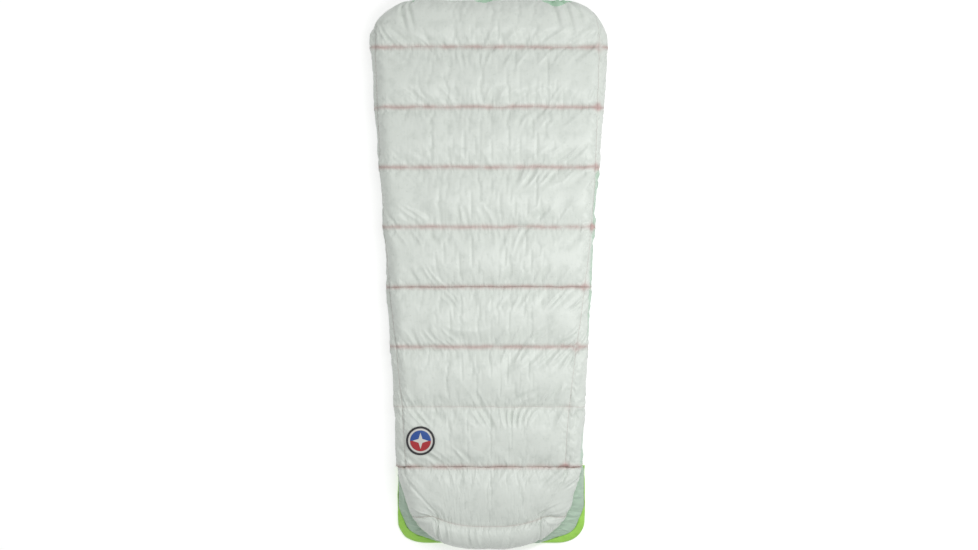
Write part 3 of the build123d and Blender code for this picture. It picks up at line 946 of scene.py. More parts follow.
@dataclass
class PaddedLid:
    """The quilted lid over the toe, from the last full seam to the gusset's rim."""

    plan: Plan
    cloth: Inflation
    power: float = 2.7
    roll: float = 0.36
    roll_angle: float = math.radians(116)
    columns: int = 84
    rows_lid: int = 34
    rows_toe: int = 22
    rim: float = 46 * MM
    waist: float = 0.06
    waist_end: float = 0.45
    toe_margin: float = 50 * MM
    lining_rim: float = 4 * MM
    groove: tuple = (7 * MM, 5 * MM)
    seam_clear: float = 2 * MM
    seam_reach: float = 7 * MM
    toe_tint: tuple = (5 * MM, 0.2)
    tint_share: float = 0.8
    folds: Folds = Folds()
    lining_folds: float = 0.8
    fold_depth: float = 2.4 * MM
    ceiling: float = 136 * MM
    long_seams: tuple = ((-1.12, -0.82), (1.0, 0.82))

    def __post_init__(self) -> None:
        """Works out the outline that the edge rolls about."""
        plan = self.plan
        self.half = float(plan.half(plan.seams[7])) - plan.ring
        self.reach = plan.seams[7] - plan.foot - self.toe_margin
        self.toe_share = (plan.seams[7] - plan.seams[8]) / self.reach

    def plan_points(self, a: Points, b: Points) -> tuple:
        """Where a square's points lie on the lid's plan.

        Args:
            a: across, -1 to 1 on the flat, further on the roll.
            b: along, 0 at the seam to 1 on the flat, further on the roll.

        Returns:
            x, y, the outward direction there, and how far down the roll it is, in radians.
        """
        reach = np.maximum(np.maximum(np.abs(a), b), 1e-9)
        fa, fb = a / np.maximum(reach, 1), b / np.maximum(reach, 1)
        inside = np.maximum(np.abs(fa), fb)
        length = (np.abs(fa) ** self.power + fb**self.power) ** (1 / self.power)
        pull = (inside / np.maximum(length, 1e-9)) ** np.clip(inside, 0, 1) ** 3
        u, v = fa * pull, fb * pull
        nx = np.sign(u) * np.abs(u) ** (self.power - 1) / self.half
        ny = -(v ** (self.power - 1)) / self.reach
        size = np.maximum(np.hypot(nx, ny), 1e-9)
        angle = np.clip((reach - 1) / self.roll, 0, 1) * self.roll_angle
        wide = self.half * (1 - self.waist * smoothstep(v / self.waist_end))
        return u * wide, self.plan.seams[7] - v * self.reach, nx / size, ny / size, angle

    def to_long_seams(self, a: Points, b: Points) -> Points:
        """Distance to the nearer of the two long seams, which lean in towards the toe.

        Args:
            a: across, as in plan_points.
            b: along, as in plan_points.

        Returns:
            The distance in metres.
        """
        share = smoothstep(b / self.toe_share)
        gaps = [np.abs(a - (start + (end - start) * share)) for start, end in self.long_seams]
        return np.minimum(*gaps) * self.half

    def grid(self, of_lining: bool) -> tuple:
        """The fabric before it is inflated, and the number of its seam row.

        Args:
            of_lining: whether it is the lining.

        Returns:
            The grid and the seam row.
        """
        plan = self.plan
        top = 1 + self.roll
        a = np.linspace(-top, top, 2 * self.columns + 1)
        b_lid = np.linspace(0, self.toe_share, self.rows_lid)
        b_toe = np.linspace(self.toe_share, top, self.rows_toe + 1)[1:]
        b = np.concatenate([b_lid, b_toe])
        a, b = np.meshgrid(a, b)
        x, y, nx, ny, angle = self.plan_points(a, b)
        low, high = (plan.lining_seam, plan.lining_crest) if of_lining else (plan.seam, plan.crest)
        lid_share = b / self.toe_share
        toe_share = (b - self.toe_share) / (top - self.toe_share)
        chambers = plan.puff(lid_share, low, high), plan.puff(toe_share, low, high)
        radius = np.where(b <= self.toe_share, *chambers)
        side = smoothstep((np.abs(a) - 1) / self.roll)
        end = smoothstep((b - 1) / self.roll)
        edge = self.rim - self.lining_rim if of_lining else self.rim
        if not of_lining:
            sewn = np.clip((plan.crest - radius) / (plan.crest - plan.seam), 0, 1)
            radius += (plan.side_seam - plan.seam) * sewn * np.sin(np.clip(angle, 0, math.pi)) * side
        radius += (edge - radius) * np.maximum(side, end) ** 4
        x, y = x + nx * radius * np.sin(angle), y + ny * radius * np.sin(angle)
        points = np.stack([x, y, plan.axis_z + radius * np.cos(angle)], -1)
        cross = np.minimum(b, np.abs(b - self.toe_share)) * self.reach
        away = np.minimum(cross, self.to_long_seams(a, b) + self.seam_clear) / MM
        reach, share = self.toe_tint
        tint = np.exp(-((b * self.reach / self.seam_reach) ** 2))
        tint += share * np.exp(-(((b - self.toe_share) * self.reach / reach) ** 2))
        along = plan.seams[7] - b * self.reach
        marks = [away, tint * self.tint_share, a * self.half, along, 0 * tint]
        return Grid(points, np.stack(marks, -1)), self.rows_lid - 1

    def build(self) -> bpy.types.Object:
        """Builds the lid as one closed, padded piece.

        Returns:
            The lid.
        """
        outer, seam_row = self.grid(False)
        inner, _ = self.grid(True)
        pins = np.zeros(outer.shape)
        pins[[0, seam_row, -1]] = 1
        pins[:, [0, -1]] = 1
        outer.points = blown(outer.points, pins, self.cloth, "lid_fabric")
        outer = outer.refined()
        a, b = self.square(outer.marks)
        width, deep = self.groove
        groove = deep * np.exp(-((self.to_long_seams(a, b) / width) ** 2))
        outer.points = outer.points - normals_of(outer.points) * groove[..., None]
        outer = self.folds.add(outer, self.plan.seams, 41, self.fold_depth)
        outer = settled(outer, self.plan, self.ceiling)
        inner = self.folds.add(inner, self.plan.seams, 51, self.fold_depth * self.lining_folds)
        lifted = outer.points + normals_of(outer.points) * STITCH_LIFT
        self.seam_line = lifted[2 * seam_row, 4:-4]
        self.wall_row = (outer.points[2 * seam_row, ::2], inner.points[seam_row])
        self.rim_line = self.rim_of(outer.points)
        top = 1 + self.roll
        self.rim_square = self.rim_of(np.stack([a / top, b / top], -1))
        lid = padded_mesh("padded_lid", outer, inner)
        LOG.info("padded_lid: %d faces", len(lid.data.polygons))
        return lid

    def square(self, marks: Points) -> tuple:
        """The place on the lid's square that each point of its grid has."""
        return marks[..., 2] / self.half, (self.plan.seams[7] - marks[..., 3]) / self.reach

    def rim_of(self, points: Points) -> Points:
        """The lid's lower edge, from its left end round the toe to its right end."""
        return np.concatenate([points[:-1, 0], points[-1], points[-2::-1, -1]])


def sheet_object(name: str, points: Points, marks: Points, thick: float) -> bpy.types.Object:
    """A fabric panel from a grid of points, with a real thickness.

    Args:
        name: the panel's name.
        points: the grid of its outer face.
        marks: the numbers its material reads, in the order of MARKS.
        thick: its thickness.

    Returns:
        The closed panel.
    """
    rows, columns = points.shape[:2]
    back = points - normals_of(points) * thick
    both = np.concatenate([points.reshape(-1, 3), back.reshape(-1, 3)])
    count = rows * columns
    front = grid_faces(rows, columns)
    faces = front + [[i + count for i in face[::-1]] for face in front]
    n = np.arange(count).reshape(rows, columns)
    for line, turn in ((n[0], 1), (n[-1], -1), (n[:, 0], -1), (n[:, -1], 1)):
        edge = [(a, a + count, b + count, b) for a, b in zip(line.tolist(), line.tolist()[1:])]
        faces += [face[::turn] for face in edge]
    obj = mesh_object(name, both, faces)
    for i, mark in enumerate(MARKS):
        set_attribute(obj, mark, np.tile(marks[..., i].ravel(), 2))
    return obj


@dataclass
class FootPan:
    """The floor pan under the toe, and the gusset that joins it to the lid's rim."""

    plan: Plan
    half: float = 331 * MM
    reach: float = 274 * MM
    shift: float = 8 * MM
    power: float = 7.0
    inset: float = 22 * MM
    lip: float = 15 * MM
    tuck: float = 5 * MM
    front_rise: float = 30 * MM
    thick: float = 0.7 * MM
    corner_start: float = 0.42
    corner_run: float = 0.4
    edge_inset: float = 0.16
    seam_gap: float = 2 * MM
    floor_inset: float = 14 * MM
    floor_shares: tuple = (0.0, 0.5, 0.8, 0.95, 1.0)
    floor_lift: float = 0.3 * MM
    turn_up: tuple = ((5, 2.2), (1, 5), (0, 8), (3, 11.5), (9, 14.2), (16, 15.4), (22, 15))
    edge_folds: float = 2.0 * MM
    gusset_rows: int = 22
    gusset_belly: float = 5 * MM
    gusset_clear: float = 3 * MM
    fold_depth: float = 3.0 * MM
    front_length: float = 26 * MM
    front_lap: float = 1.5 * MM
    front_low: float = 0.4 * MM
    front_folds: float = 6 * MM
    front_seam: float = 20 * MM

    def outline(self, square: Points, inset: float) -> Points:
        """Points of the pan's outline, moved in by an inset, for points of a square's edge.

        Args:
            square: places on the square's edge.
            inset: how far in the outline is moved.

        Returns:
            x and y for each place.
        """
        fa, fb = np.clip(square[:, 0], -1, 1), np.clip(square[:, 1], 0, 1)
        cornered = smoothstep((np.minimum(np.abs(fa), fb) - self.corner_start) / self.corner_run)
        inset = inset * np.maximum(cornered, self.edge_inset) + self.tuck * (1 - cornered)
        length = (np.abs(fa) ** self.power + fb**self.power) ** (1 / self.power)
        x = self.shift + fa / length * (self.half - inset)
        y = self.plan.seams[7] - self.seam_gap - fb / length * (self.reach - inset)
        return np.stack([x, y], -1)

    def marks(self, points: Points, to_seam: Points) -> Points:
        """The numbers the fabric's material reads, on a panel's own place.

        Args:
            points: the panel's grid.
            to_seam: distance to its nearest sewn edge.

        Returns:
            The numbers, in the order of MARKS.
        """
        rows, columns = points.shape[:2]
        steps = np.linalg.norm(np.diff(points[rows // 2], axis=0), axis=1)
        around = np.broadcast_to(np.concatenate([[0], np.cumsum(steps)]), (rows, columns))
        zero = np.zeros((rows, columns))
        return np.stack([to_seam / MM, zero, around, points[..., 1] + points[..., 2], zero], -1)

    def ring(self, square: Points, inset: float, height: float) -> Points:
        """The pan's outline, moved in by an inset, at a height."""
        flat = self.outline(square, inset)
        return np.concatenate([flat, np.full((len(flat), 1), height)], 1)

    def gusset(self, rim: Points, square: Points) -> tuple:
        """The gusset's panel, from the lid's rim down and out to the pan's lip.

        Args:
            rim: the lid's lower edge.
            square: where each of its points lies on the square's edge.

        Returns:
            The grid and its marks.
        """
        share = np.linspace(0, 1, self.gusset_rows)[:, None, None]
        foot = self.ring(square, self.inset, self.lip)
        start = rim + np.array([0, 0, -1]) * MM
        points = start * (1 - share) + foot[None] * share
        outward = normals_of(points)
        rows = np.broadcast_to(share[..., 0], points.shape[:2])
        length = np.linalg.norm(foot - start, axis=1)[None, :]
        to_seam = np.minimum(rows, 1 - rows) * length
        marks = self.marks(points, to_seam)
        around = marks[..., 2]
        loose = np.sin(np.pi * rows)
        pleats = 1 - 2.2 * np.abs(value_noise(around / (21 * MM), rows * 1.6, 61))
        small = value_noise(around / (8 * MM), rows * 2.4, 62)
        push = loose * (self.fold_depth * (pleats + 0.35 * small) + self.gusset_belly)
        points = points + outward * push[..., None]
        points[..., 2] = np.maximum(points[..., 2], self.gusset_clear)
        return points, marks

    def pan(self, square: Points) -> tuple:
        """The floor's panel: flat, with its edge turned up to a lip all round.

        Args:
            square: places on the square's edge.

        Returns:
            The grid and its marks.
        """
        edge = self.ring(square, self.floor_inset, self.floor_lift)
        front = np.linspace(edge[0], edge[-1], len(edge))
        rings = [front + (edge - front) * share for share in self.floor_shares]
        rings += [self.ring(square, inset * MM, height * MM) for inset, height in self.turn_up]
        points = np.stack(rings)
        to_edge = np.linalg.norm(points[..., :2] - points[-1:, :, :2], axis=-1)
        marks = self.marks(points, to_edge)
        folds = value_noise(marks[..., 2] / (17 * MM), to_edge / (22 * MM), 63)
        raised = np.clip(points[..., 2] / (9 * MM), 0, 1)
        sway = value_noise(marks[..., 2] / (26 * MM), to_edge / (30 * MM), 64)
        points[..., 2] += folds * raised * self.edge_folds
        points[..., 0] += sway * raised * self.edge_folds
        points[..., 2] = np.maximum(points[..., 2], 0.2 * MM)
        return points, marks

    def front(self, square: Points) -> Points:
        """The strip that closes the pan at the front, up to the tube's underside seam.

        Args:
            square: places on the square's edge.

        Returns:
            The grid.
        """
        left, right = self.outline(square[[0, -1]], self.floor_inset)
        x = np.linspace(left[0], right[0], 90)
        drop = smoothstep(np.linspace(0, 1, 10))
        y = left[1] + self.front_lap - self.front_length * np.linspace(0, 1, 10)
        z = self.front_rise * (1 - drop) + self.front_low
        points = np.stack(np.broadcast_arrays(x[None, :], y[:, None], z[:, None]), -1).copy()
        loose = drop[:, None] * (1 - drop[:, None])
        folds = value_noise(x[None, :] / (30 * MM), y[:, None] / (20 * MM), 65)
        points[..., 2] += folds * loose * self.front_folds
        return points[:, ::-1]

    def build(self, rim: Points, square: Points) -> list:
        """Builds the gusset, the pan and the front strip as thin sheets.

        Args:
            rim: the lid's lower edge.
            square: where each of its points lies on the square's edge.

        Returns:
            The three panels.
        """
        made = []
        front = self.front(square)
        panels = {"foot_gusset": self.gusset(rim, square), "floor_pan": self.pan(square)}
        panels["floor_front"] = (front, self.marks(front, np.full(front.shape[:2], self.front_seam)))
        for name, (points, marks) in panels.items():
            panel = sheet_object(name, points[:, ::-1], marks[:, ::-1], self.thick)
            made.append(panel)
        return made


# ---- trim ---------------------------------------------------------------------------------------
def swept(
    name: str, line: Points, wide: float, high: float, up: tuple = (0, 0, 1), sides: int = 12
) -> bpy.types.Object:
    """A closed, flattened tube along a line, such as a binding.

    Args:
        name: the piece's name.
        line: the points it follows.
        wide: half its width, level.
        high: half its height, along up.
        up: which way its height goes.
        sides: how many sides it has.

    Returns:
        The tube.
    """
    along = np.gradient(line, axis=0)
    along /= np.maximum(np.linalg.norm(along, axis=1, keepdims=True), 1e-9)
    rise = np.broadcast_to(np.array(up, float), line.shape)
    level = np.cross(along, rise)
    level /= np.maximum(np.linalg.norm(level, axis=1, keepdims=True), 1e-9)
    rise = np.cross(level, along)
    turn = np.linspace(0, 2 * np.pi, sides, endpoint=False)
    across, upward = np.cos(turn)[None, :, None], np.sin(turn)[None, :, None]
    ring = level[:, None] * across * wide + rise[:, None] * upward * high
    points = (line[:, None] + ring).reshape(-1, 3)
    faces = []
    for i in range(len(line) - 1):
        for j in range(sides):
            a, b = i * sides + j, i * sides + (j + 1) % sides
            faces.append((a, b, b + sides, a + sides))
    last = (len(line) - 1) * sides
    faces += [tuple(range(sides))[::-1], tuple(range(last, last + sides))]
    return mesh_object(name, points, faces)


def wall_strip(top: Points, bottom: Points, thick: float, clear: float) -> tuple:
    """A thin upright wall between two lines, as points and faces, a share clear of both.

    Args:
        top: the line on the shell.
        bottom: the line on the lining.
        thick: the wall's thickness.
        clear: the share left free at both lines.

    Returns:
        The points and the faces.
    """
    a, b = top + (bottom - top) * clear, bottom + (top - bottom) * clear
    step = np.array([0, thick / 2, 0])
    points = np.concatenate([a + step, b + step, b - step, a - step])
    n = len(a)
    faces = []
    for ring in range(4):
        first, second = ring * n, ((ring + 1) % 4) * n
        faces += [(first + i, first + i + 1, second + i + 1, second + i) for i in range(n - 1)]
    faces += [(0, n, 2 * n, 3 * n), (4 * n - 1, 3 * n - 1, 2 * n - 1, n - 1)]
    return points, faces


@dataclass
class Walls:
    """The mesh walls that stand between shell and lining at the seams."""

    thick: float = 0.8 * MM
    clear: float = 0.14

    def build(self, name: str, rows: list) -> bpy.types.Object:
        """Builds the walls of one body as one piece.

        Args:
            name: the piece's name.
            rows: a pair of lines for each wall, the shell's and the lining's.

        Returns:
            The piece.
        """
        points, faces, count = [], [], 0
        for top, bottom in rows:
            p, f = wall_strip(top[1:-1], bottom[1:-1], self.thick, self.clear)
            points.append(p)
            faces += [tuple(i + count for i in face) for face in f]
            count += len(p)
        walls = mesh_object(name, np.concatenate(points), faces, smooth=False)
        LOG.info("%s: %d walls", name, len(rows))
        return walls


@dataclass
class Stitching:
    """Rows of machine stitches along sewn lines, made by one node tree."""

    thread: bpy.types.Material
    pitch: float = 4.4 * MM
    length: float = 3.4 * MM
    thick: float = 0.8 * MM
    least: tuple = (0.85, 0.85, 0.88)
    most: tuple = (1.1, 1.1, 1.06)
    sides: int = 5
    seed: int = 7

    def __post_init__(self) -> None:
        """Builds the tree: lines to points, a stitch on each, laid along the line."""
        tree = self.tree = bpy.data.node_groups.new("stitch_rows", "GeometryNodeTree")
        face = tree.interface
        face.new_socket("Lines", in_out="INPUT", socket_type="NodeSocketGeometry")
        sizes = {"Pitch": self.pitch, "Stitch Length": self.length, "Thread Thickness": self.thick}
        self.inputs = {}
        for name, value in sizes.items():
            socket = face.new_socket(name, in_out="INPUT", socket_type="NodeSocketFloat")
            socket.default_value = value
            self.inputs[name] = socket.identifier
        socket = face.new_socket("Thread", in_out="INPUT", socket_type="NodeSocketMaterial")
        self.inputs["Thread"] = socket.identifier
        face.new_socket("Stitches", in_out="OUTPUT", socket_type="NodeSocketGeometry")
        nodes = tree.nodes
        given, made = nodes.new("NodeGroupInput"), nodes.new("NodeGroupOutput")
        curve = nodes.new("GeometryNodeMeshToCurve")
        spaced = nodes.new("GeometryNodeCurveToPoints")
        spaced.mode = "LENGTH"
        aim = nodes.new("FunctionNodeAlignRotationToVector")
        aim.axis = "Z"
        radius = nodes.new("ShaderNodeMath")
        radius.operation = "MULTIPLY"
        radius.inputs[1].default_value = 0.5
        stitch = nodes.new("GeometryNodeMeshCylinder")
        stitch.inputs["Vertices"].default_value = self.sides
        uneven = nodes.new("FunctionNodeRandomValue")
        uneven.data_type = "FLOAT_VECTOR"
        uneven.inputs["Min"].default_value = self.least
        uneven.inputs["Max"].default_value = self.most
        uneven.inputs["Seed"].default_value = self.seed
        placed = nodes.new("GeometryNodeInstanceOnPoints")
        real = nodes.new("GeometryNodeRealizeInstances")
        dressed = nodes.new("GeometryNodeSetMaterial")
        for source, output, target, name in (
            (given, "Lines", curve, "Mesh"),
            (curve, "Curve", spaced, "Curve"),
            (given, "Pitch", spaced, "Length"),
            (spaced, "Tangent", aim, "Vector"),
            (given, "Thread Thickness", radius, 0),
            (radius, 0, stitch, "Radius"),
            (given, "Stitch Length", stitch, "Depth"),
            (spaced, "Points", placed, "Points"),
            (stitch, "Mesh", placed, "Instance"),
            (aim, "Rotation", placed, "Rotation"),
            (uneven, "Value", placed, "Scale"),
            (placed, "Instances", real, "Geometry"),
            (real, "Geometry", dressed, "Geometry"),
            (given, "Thread", dressed, "Material"),
            (dressed, "Geometry", made, "Stitches"),
        ):
            tree.links.new(source.outputs[output], target.inputs[name])

    def build(self, name: str, lines: list) -> bpy.types.Object:
        """Sews along some lines and returns the stitches as one plain mesh.

        Args:
            name: the piece's name.
            lines: arrays of points.

        Returns:
            The stitches.
        """
        mesh = bpy.data.meshes.new(name)
        edges, count = [], 0
        for line in lines:
            edges += [(count + i, count + i + 1) for i in range(len(line) - 1)]
            count += len(line)
        mesh.from_pydata([tuple(p) for p in np.concatenate(lines)], edges, [])
        obj = bpy.data.objects.new(name, mesh)
        bpy.context.scene.collection.objects.link(obj)
        modifier = obj.modifiers.new("stitches", "NODES")
        modifier.node_group = self.tree
        modifier[self.inputs["Pitch"]] = self.pitch
        modifier[self.inputs["Stitch Length"]] = self.length
        modifier[self.inputs["Thread Thickness"]] = self.thick
        modifier[self.inputs["Thread"]] = self.thread
        apply_modifiers(obj)
        LOG.info("%s: %d faces", name, len(obj.data.polygons))
        return obj


@dataclass
class Patch:
    """A round sewn patch: dark edge, pale field, two half discs and a plain star."""

    x: float = -236 * MM
    y: float = -571 * MM
    radius: float = 50 * MM
    edge: float = 7.5 * MM
    lift: float = 1.4 * MM
    sink: float = 0.2 * MM
    cover: float = 0.6
    badge_gap: float = 6.5 * MM
    field_thick: float = 2.4 * MM
    layer: float = 0.5 * MM
    layer_thick: float = 0.7 * MM
    edge_high: float = 2.1 * MM
    ridges: int = 130
    ridge_depth: float = 0.09
    star_long: float = 28 * MM
    star_short: float = 9.5 * MM

    def rest_on(self, shell: bpy.types.Object) -> None:
        """Fits a gentle surface to the shell under the patch.

        Args:
            shell: the padded piece it is sewn to.
        """
        graph = bpy.context.evaluated_depsgraph_get()
        tree = BVHTree.FromObject(shell, graph)
        spots = []
        for r in np.linspace(0, self.radius, 9):
            for t in np.linspace(0, 2 * np.pi, 24, endpoint=False):
                x, y = self.x + r * math.cos(t), self.y + r * math.sin(t)
                hit = tree.ray_cast(Vector((x, y, 0.5)), Vector((0, 0, -1)))[0]
                spots.append((x - self.x, y - self.y, hit.z))
        spots = np.array(spots)
        self.fit, *_ = np.linalg.lstsq(self.terms(spots[:, 0], spots[:, 1]), spots[:, 2], rcond=None)
        above = spots[:, 2] - self.terms(spots[:, 0], spots[:, 1]) @ self.fit
        self.base = float(above.max()) - self.sink

    def terms(self, x: Points, y: Points) -> Points:
        """The terms of the fitted surface."""
        cubes = [x * x * x, x * x * y, x * y * y, y * y * y]
        return np.stack([np.ones_like(x), x, y, x * x, x * y, y * y, *cubes], -1)

    def height(self, x: Points, y: Points) -> Points:
        """The patch's height over a point, from its own middle."""
        flat = self.terms(x.ravel(), y.ravel()) @ self.fit
        return flat.reshape(x.shape) + self.base

    def disc(self, name: str, reach: Points, turn: Points, rise: float, thick: float) -> bpy.types.Object:
        """A thin raised shape with a given reach in every direction.

        Args:
            name: the piece's name.
            reach: how far it goes at each angle.
            turn: the angles; a shape that doesn't close runs straight between its ends.
            rise: how far its face stands over the shell.
            thick: its thickness.

        Returns:
            The closed piece.
        """
        share = np.linspace(0.0, 1, 15)[1:, None]
        x, y = share * (reach * np.cos(turn))[None], share * (reach * np.sin(turn))[None]
        whole = abs((turn[-1] - turn[0]) - 2 * np.pi) < 1e-6
        if whole:
            x, y = x[:, :-1], y[:, :-1]
        rows, columns = x.shape
        z = self.height(x, y) + rise
        ring = np.stack([x + self.x, y + self.y, z], -1).reshape(-1, 3)
        middle = np.array([[self.x, self.y, float(self.height(np.zeros(1), np.zeros(1))[0]) + rise]])
        top = np.concatenate([middle, ring])
        low = top - np.array([0, 0, thick])
        count = len(top)
        faces = []
        last = columns if whole else columns - 1
        for j in range(last):
            k = (j + 1) % columns
            faces.append((0, 1 + j, 1 + k))
            for i in range(rows - 1):
                a, b = 1 + i * columns, 1 + (i + 1) * columns
                faces.append((a + j, b + j, b + k, a + k))
        faces += [tuple(i + count for i in face[::-1]) for face in faces]
        rim = [1 + (rows - 1) * columns + j for j in range(columns)]
        if whole:
            rim.append(rim[0])
        else:
            left = [1 + i * columns for i in range(rows)]
            right = [1 + i * columns + columns - 1 for i in range(rows)]
            rim = [0] + left[:-1] + rim + right[:-1][::-1] + [0]
        faces += [(a, a + count, b + count, b) for a, b in zip(rim, rim[1:])]
        return mesh_object(name, np.concatenate([top, low]), faces)

    def border(self) -> bpy.types.Object:
        """The thick overlocked edge, with the ridges of its thread.

        Returns:
            The closed ring.
        """
        around, sides = 520, 10
        turn = np.linspace(0, 2 * np.pi, around, endpoint=False)[:, None]
        side = np.linspace(0, 2 * np.pi, sides, endpoint=False)[None]
        ridge = 1 + self.ridge_depth * np.cos(self.ridges * turn + side)
        r = self.radius - self.edge / 2 + np.cos(side) * self.edge / 2 * ridge
        x, y = r * np.cos(turn), r * np.sin(turn)
        z = self.height(x, y) + self.lift + np.sin(side) * self.edge_high * ridge
        points = np.stack([x + self.x, y + self.y, z], -1).reshape(-1, 3)
        faces = []
        for i in range(around):
            for j in range(sides):
                a, b = i * sides, ((i + 1) % around) * sides
                k = (j + 1) % sides
                faces.append((a + j, b + j, b + k, a + k))
        return mesh_object("patch_edge", points, faces)

    def star(self) -> tuple:
        """A four-pointed star's reach at each angle.

        Returns:
            The reaches and their angles.
        """
        corners = []
        for k in range(9):
            size = self.star_long if k % 2 == 0 else self.star_short
            corners.append((size * math.cos(k * math.pi / 4), size * math.sin(k * math.pi / 4)))
        points = np.array(corners)
        share = np.linspace(0, 1, 7)[:-1, None]
        line = np.concatenate([a + (b - a) * share for a, b in zip(points, points[1:])] + [points[-1:]])
        turn = np.unwrap(np.arctan2(line[:, 1], line[:, 0]))
        turn[-1] = turn[0] + 2 * np.pi
        return np.hypot(line[:, 0], line[:, 1]), turn

    def build(self, shell: bpy.types.Object) -> dict:
        """Builds the patch on the shell.

        Args:
            shell: the padded piece it is sewn to.

        Returns:
            Its pieces by finish.
        """
        self.rest_on(shell)
        whole = np.linspace(0, 2 * np.pi, 97)
        inner = self.radius - self.edge * self.cover
        badge = self.radius - self.edge - self.badge_gap
        upper = np.linspace(0, np.pi, 49)
        reach, star = self.star()
        raised, top, thick = self.lift + self.layer, self.lift + 2 * self.layer, self.layer_thick
        made = {
            self.disc("patch_field", np.full(97, inner), whole, self.lift, self.field_thick): FIELD,
            self.disc("patch_upper", np.full(49, badge), upper, raised, thick): BLUE,
            self.disc("patch_lower", np.full(49, badge), upper + np.pi, raised, thick): RED,
            self.disc("patch_star", reach, star, top, thick): FIELD,
            self.border(): BLACK,
        }
        LOG.info("patch: %d pieces", len(made))
        return made


# ---- finishes -----------------------------------------------------------------------------------
@dataclass
class Recipe:
    """A material's node tree, with short calls for what the finishes need."""

    name: str

    def __post_init__(self) -> None:
        """Makes the material with its one shader."""
        self.material = bpy.data.materials.new(self.name)
        self.material.use_nodes = True
        self.tree = self.material.node_tree
        self.shader = self.tree.nodes["Principled BSDF"]

    def node(self, kind: str, **inputs: object) -> bpy.types.Node:
        """Adds a node; each input is a value or another node's output, by the socket's name.

        Args:
            kind: the node's type.
            inputs: values or outputs, by the socket's name.

        Returns:
            The node.
        """
        node = self.tree.nodes.new(kind)
        for key, value in inputs.items():
            self.feed(node.inputs[key.replace("_", " ")], value)
        return node

    def feed(self, socket: bpy.types.NodeSocket, value: object) -> None:
        """Sets a socket to a value, or links an output to it.

        Args:
            socket: the input.
            value: a value, or the output to link.
        """
        if isinstance(value, bpy.types.NodeSocket):
            self.tree.links.new(value, socket)
        else:
            socket.default_value = value

    def attribute(self, name: str) -> bpy.types.NodeSocket:
        """A number stored on the mesh.

        Args:
            name: the attribute's name.

        Returns:
            The number.
        """
        node = self.node("ShaderNodeAttribute")
        node.attribute_name = name
        return node.outputs["Fac"]

    def maths(self, operation: str, a: object, b: object = 0.0) -> bpy.types.NodeSocket:
        """One step of arithmetic.

        Args:
            operation: the step's name in the Math node.
            a: first value.
            b: second value.

        Returns:
            The result.
        """
        node = self.tree.nodes.new("ShaderNodeMath")
        node.operation = operation
        self.feed(node.inputs[0], a)
        self.feed(node.inputs[1], b)
        return node.outputs[0]

    def times(self, a: object, b: object) -> bpy.types.NodeSocket:
        """A product."""
        return self.maths("MULTIPLY", a, b)

    def vector(self, x: object, y: object, z: object = 0.0) -> bpy.types.NodeSocket:
        """A vector from three numbers."""
        return self.node("ShaderNodeCombineXYZ", X=x, Y=y, Z=z).outputs[0]

    def noise(self, place: object, scale: float, detail: float = 3.0) -> bpy.types.NodeSocket:
        """Soft noise from 0 to 1."""
        return self.node("ShaderNodeTexNoise", Vector=place, Scale=scale, Detail=detail).outputs["Fac"]

    def ramp(self, value: object, low: float, high: float) -> bpy.types.NodeSocket:
        """A value stretched so that low becomes 0 and high becomes 1.

        Args:
            value: what is stretched.
            low: the value that becomes 0.
            high: the value that becomes 1.

        Returns:
            The stretched value.
        """
        node = self.tree.nodes.new("ShaderNodeMapRange")
        self.feed(node.inputs["Value"], value)
        node.inputs["From Min"].default_value = low
        node.inputs["From Max"].default_value = high
        return node.outputs["Result"]

    def mix(self, share: object, a: object, b: object) -> bpy.types.NodeSocket:
        """A colour between two colours.

        Args:
            share: how much of the second colour.
            a: first colour.
            b: second colour.

        Returns:
            The colour.
        """
        node = self.tree.nodes.new("ShaderNodeMix")
        node.data_type = "RGBA"
        self.feed(node.inputs["Factor"], share)
        self.feed(node.inputs["A"], a)
        self.feed(node.inputs["B"], b)
        return node.outputs["Result"]

    def bump(self, height: object, distance: float, under: object = None) -> bpy.types.NodeSocket:
        """Relief from a height, on top of other relief.

        Args:
            height: the relief, from 0 to 1.
            distance: its height in metres.
            under: the relief that it lies on.

        Returns:
            The normal.
        """
        node = self.node("ShaderNodeBump", Height=height, Distance=distance)
        if under is not None:
            self.feed(node.inputs["Normal"], under)
        return node.outputs["Normal"]

    def own_place(self) -> bpy.types.NodeSocket:
        """The point's place on the object."""
        return self.node("ShaderNodeTexCoord").outputs["Object"]

    def finish(
        self, color: object, roughness: object, normal: object = None, **rest: float
    ) -> bpy.types.Material:
        """Feeds the shader and returns the material.

        Args:
            color: base colour.
            roughness: roughness.
            normal: relief, if any.
            rest: the shader's other values, by the socket's name.

        Returns:
            The finished material.
        """
        self.feed(self.shader.inputs["Base Color"], color)
        self.feed(self.shader.inputs["Roughness"], roughness)
        if normal is not None:
            self.feed(self.shader.inputs["Normal"], normal)
        for key, value in rest.items():
            self.shader.inputs[key.replace("_", " ")].default_value = value
        return self.material


Color = tuple


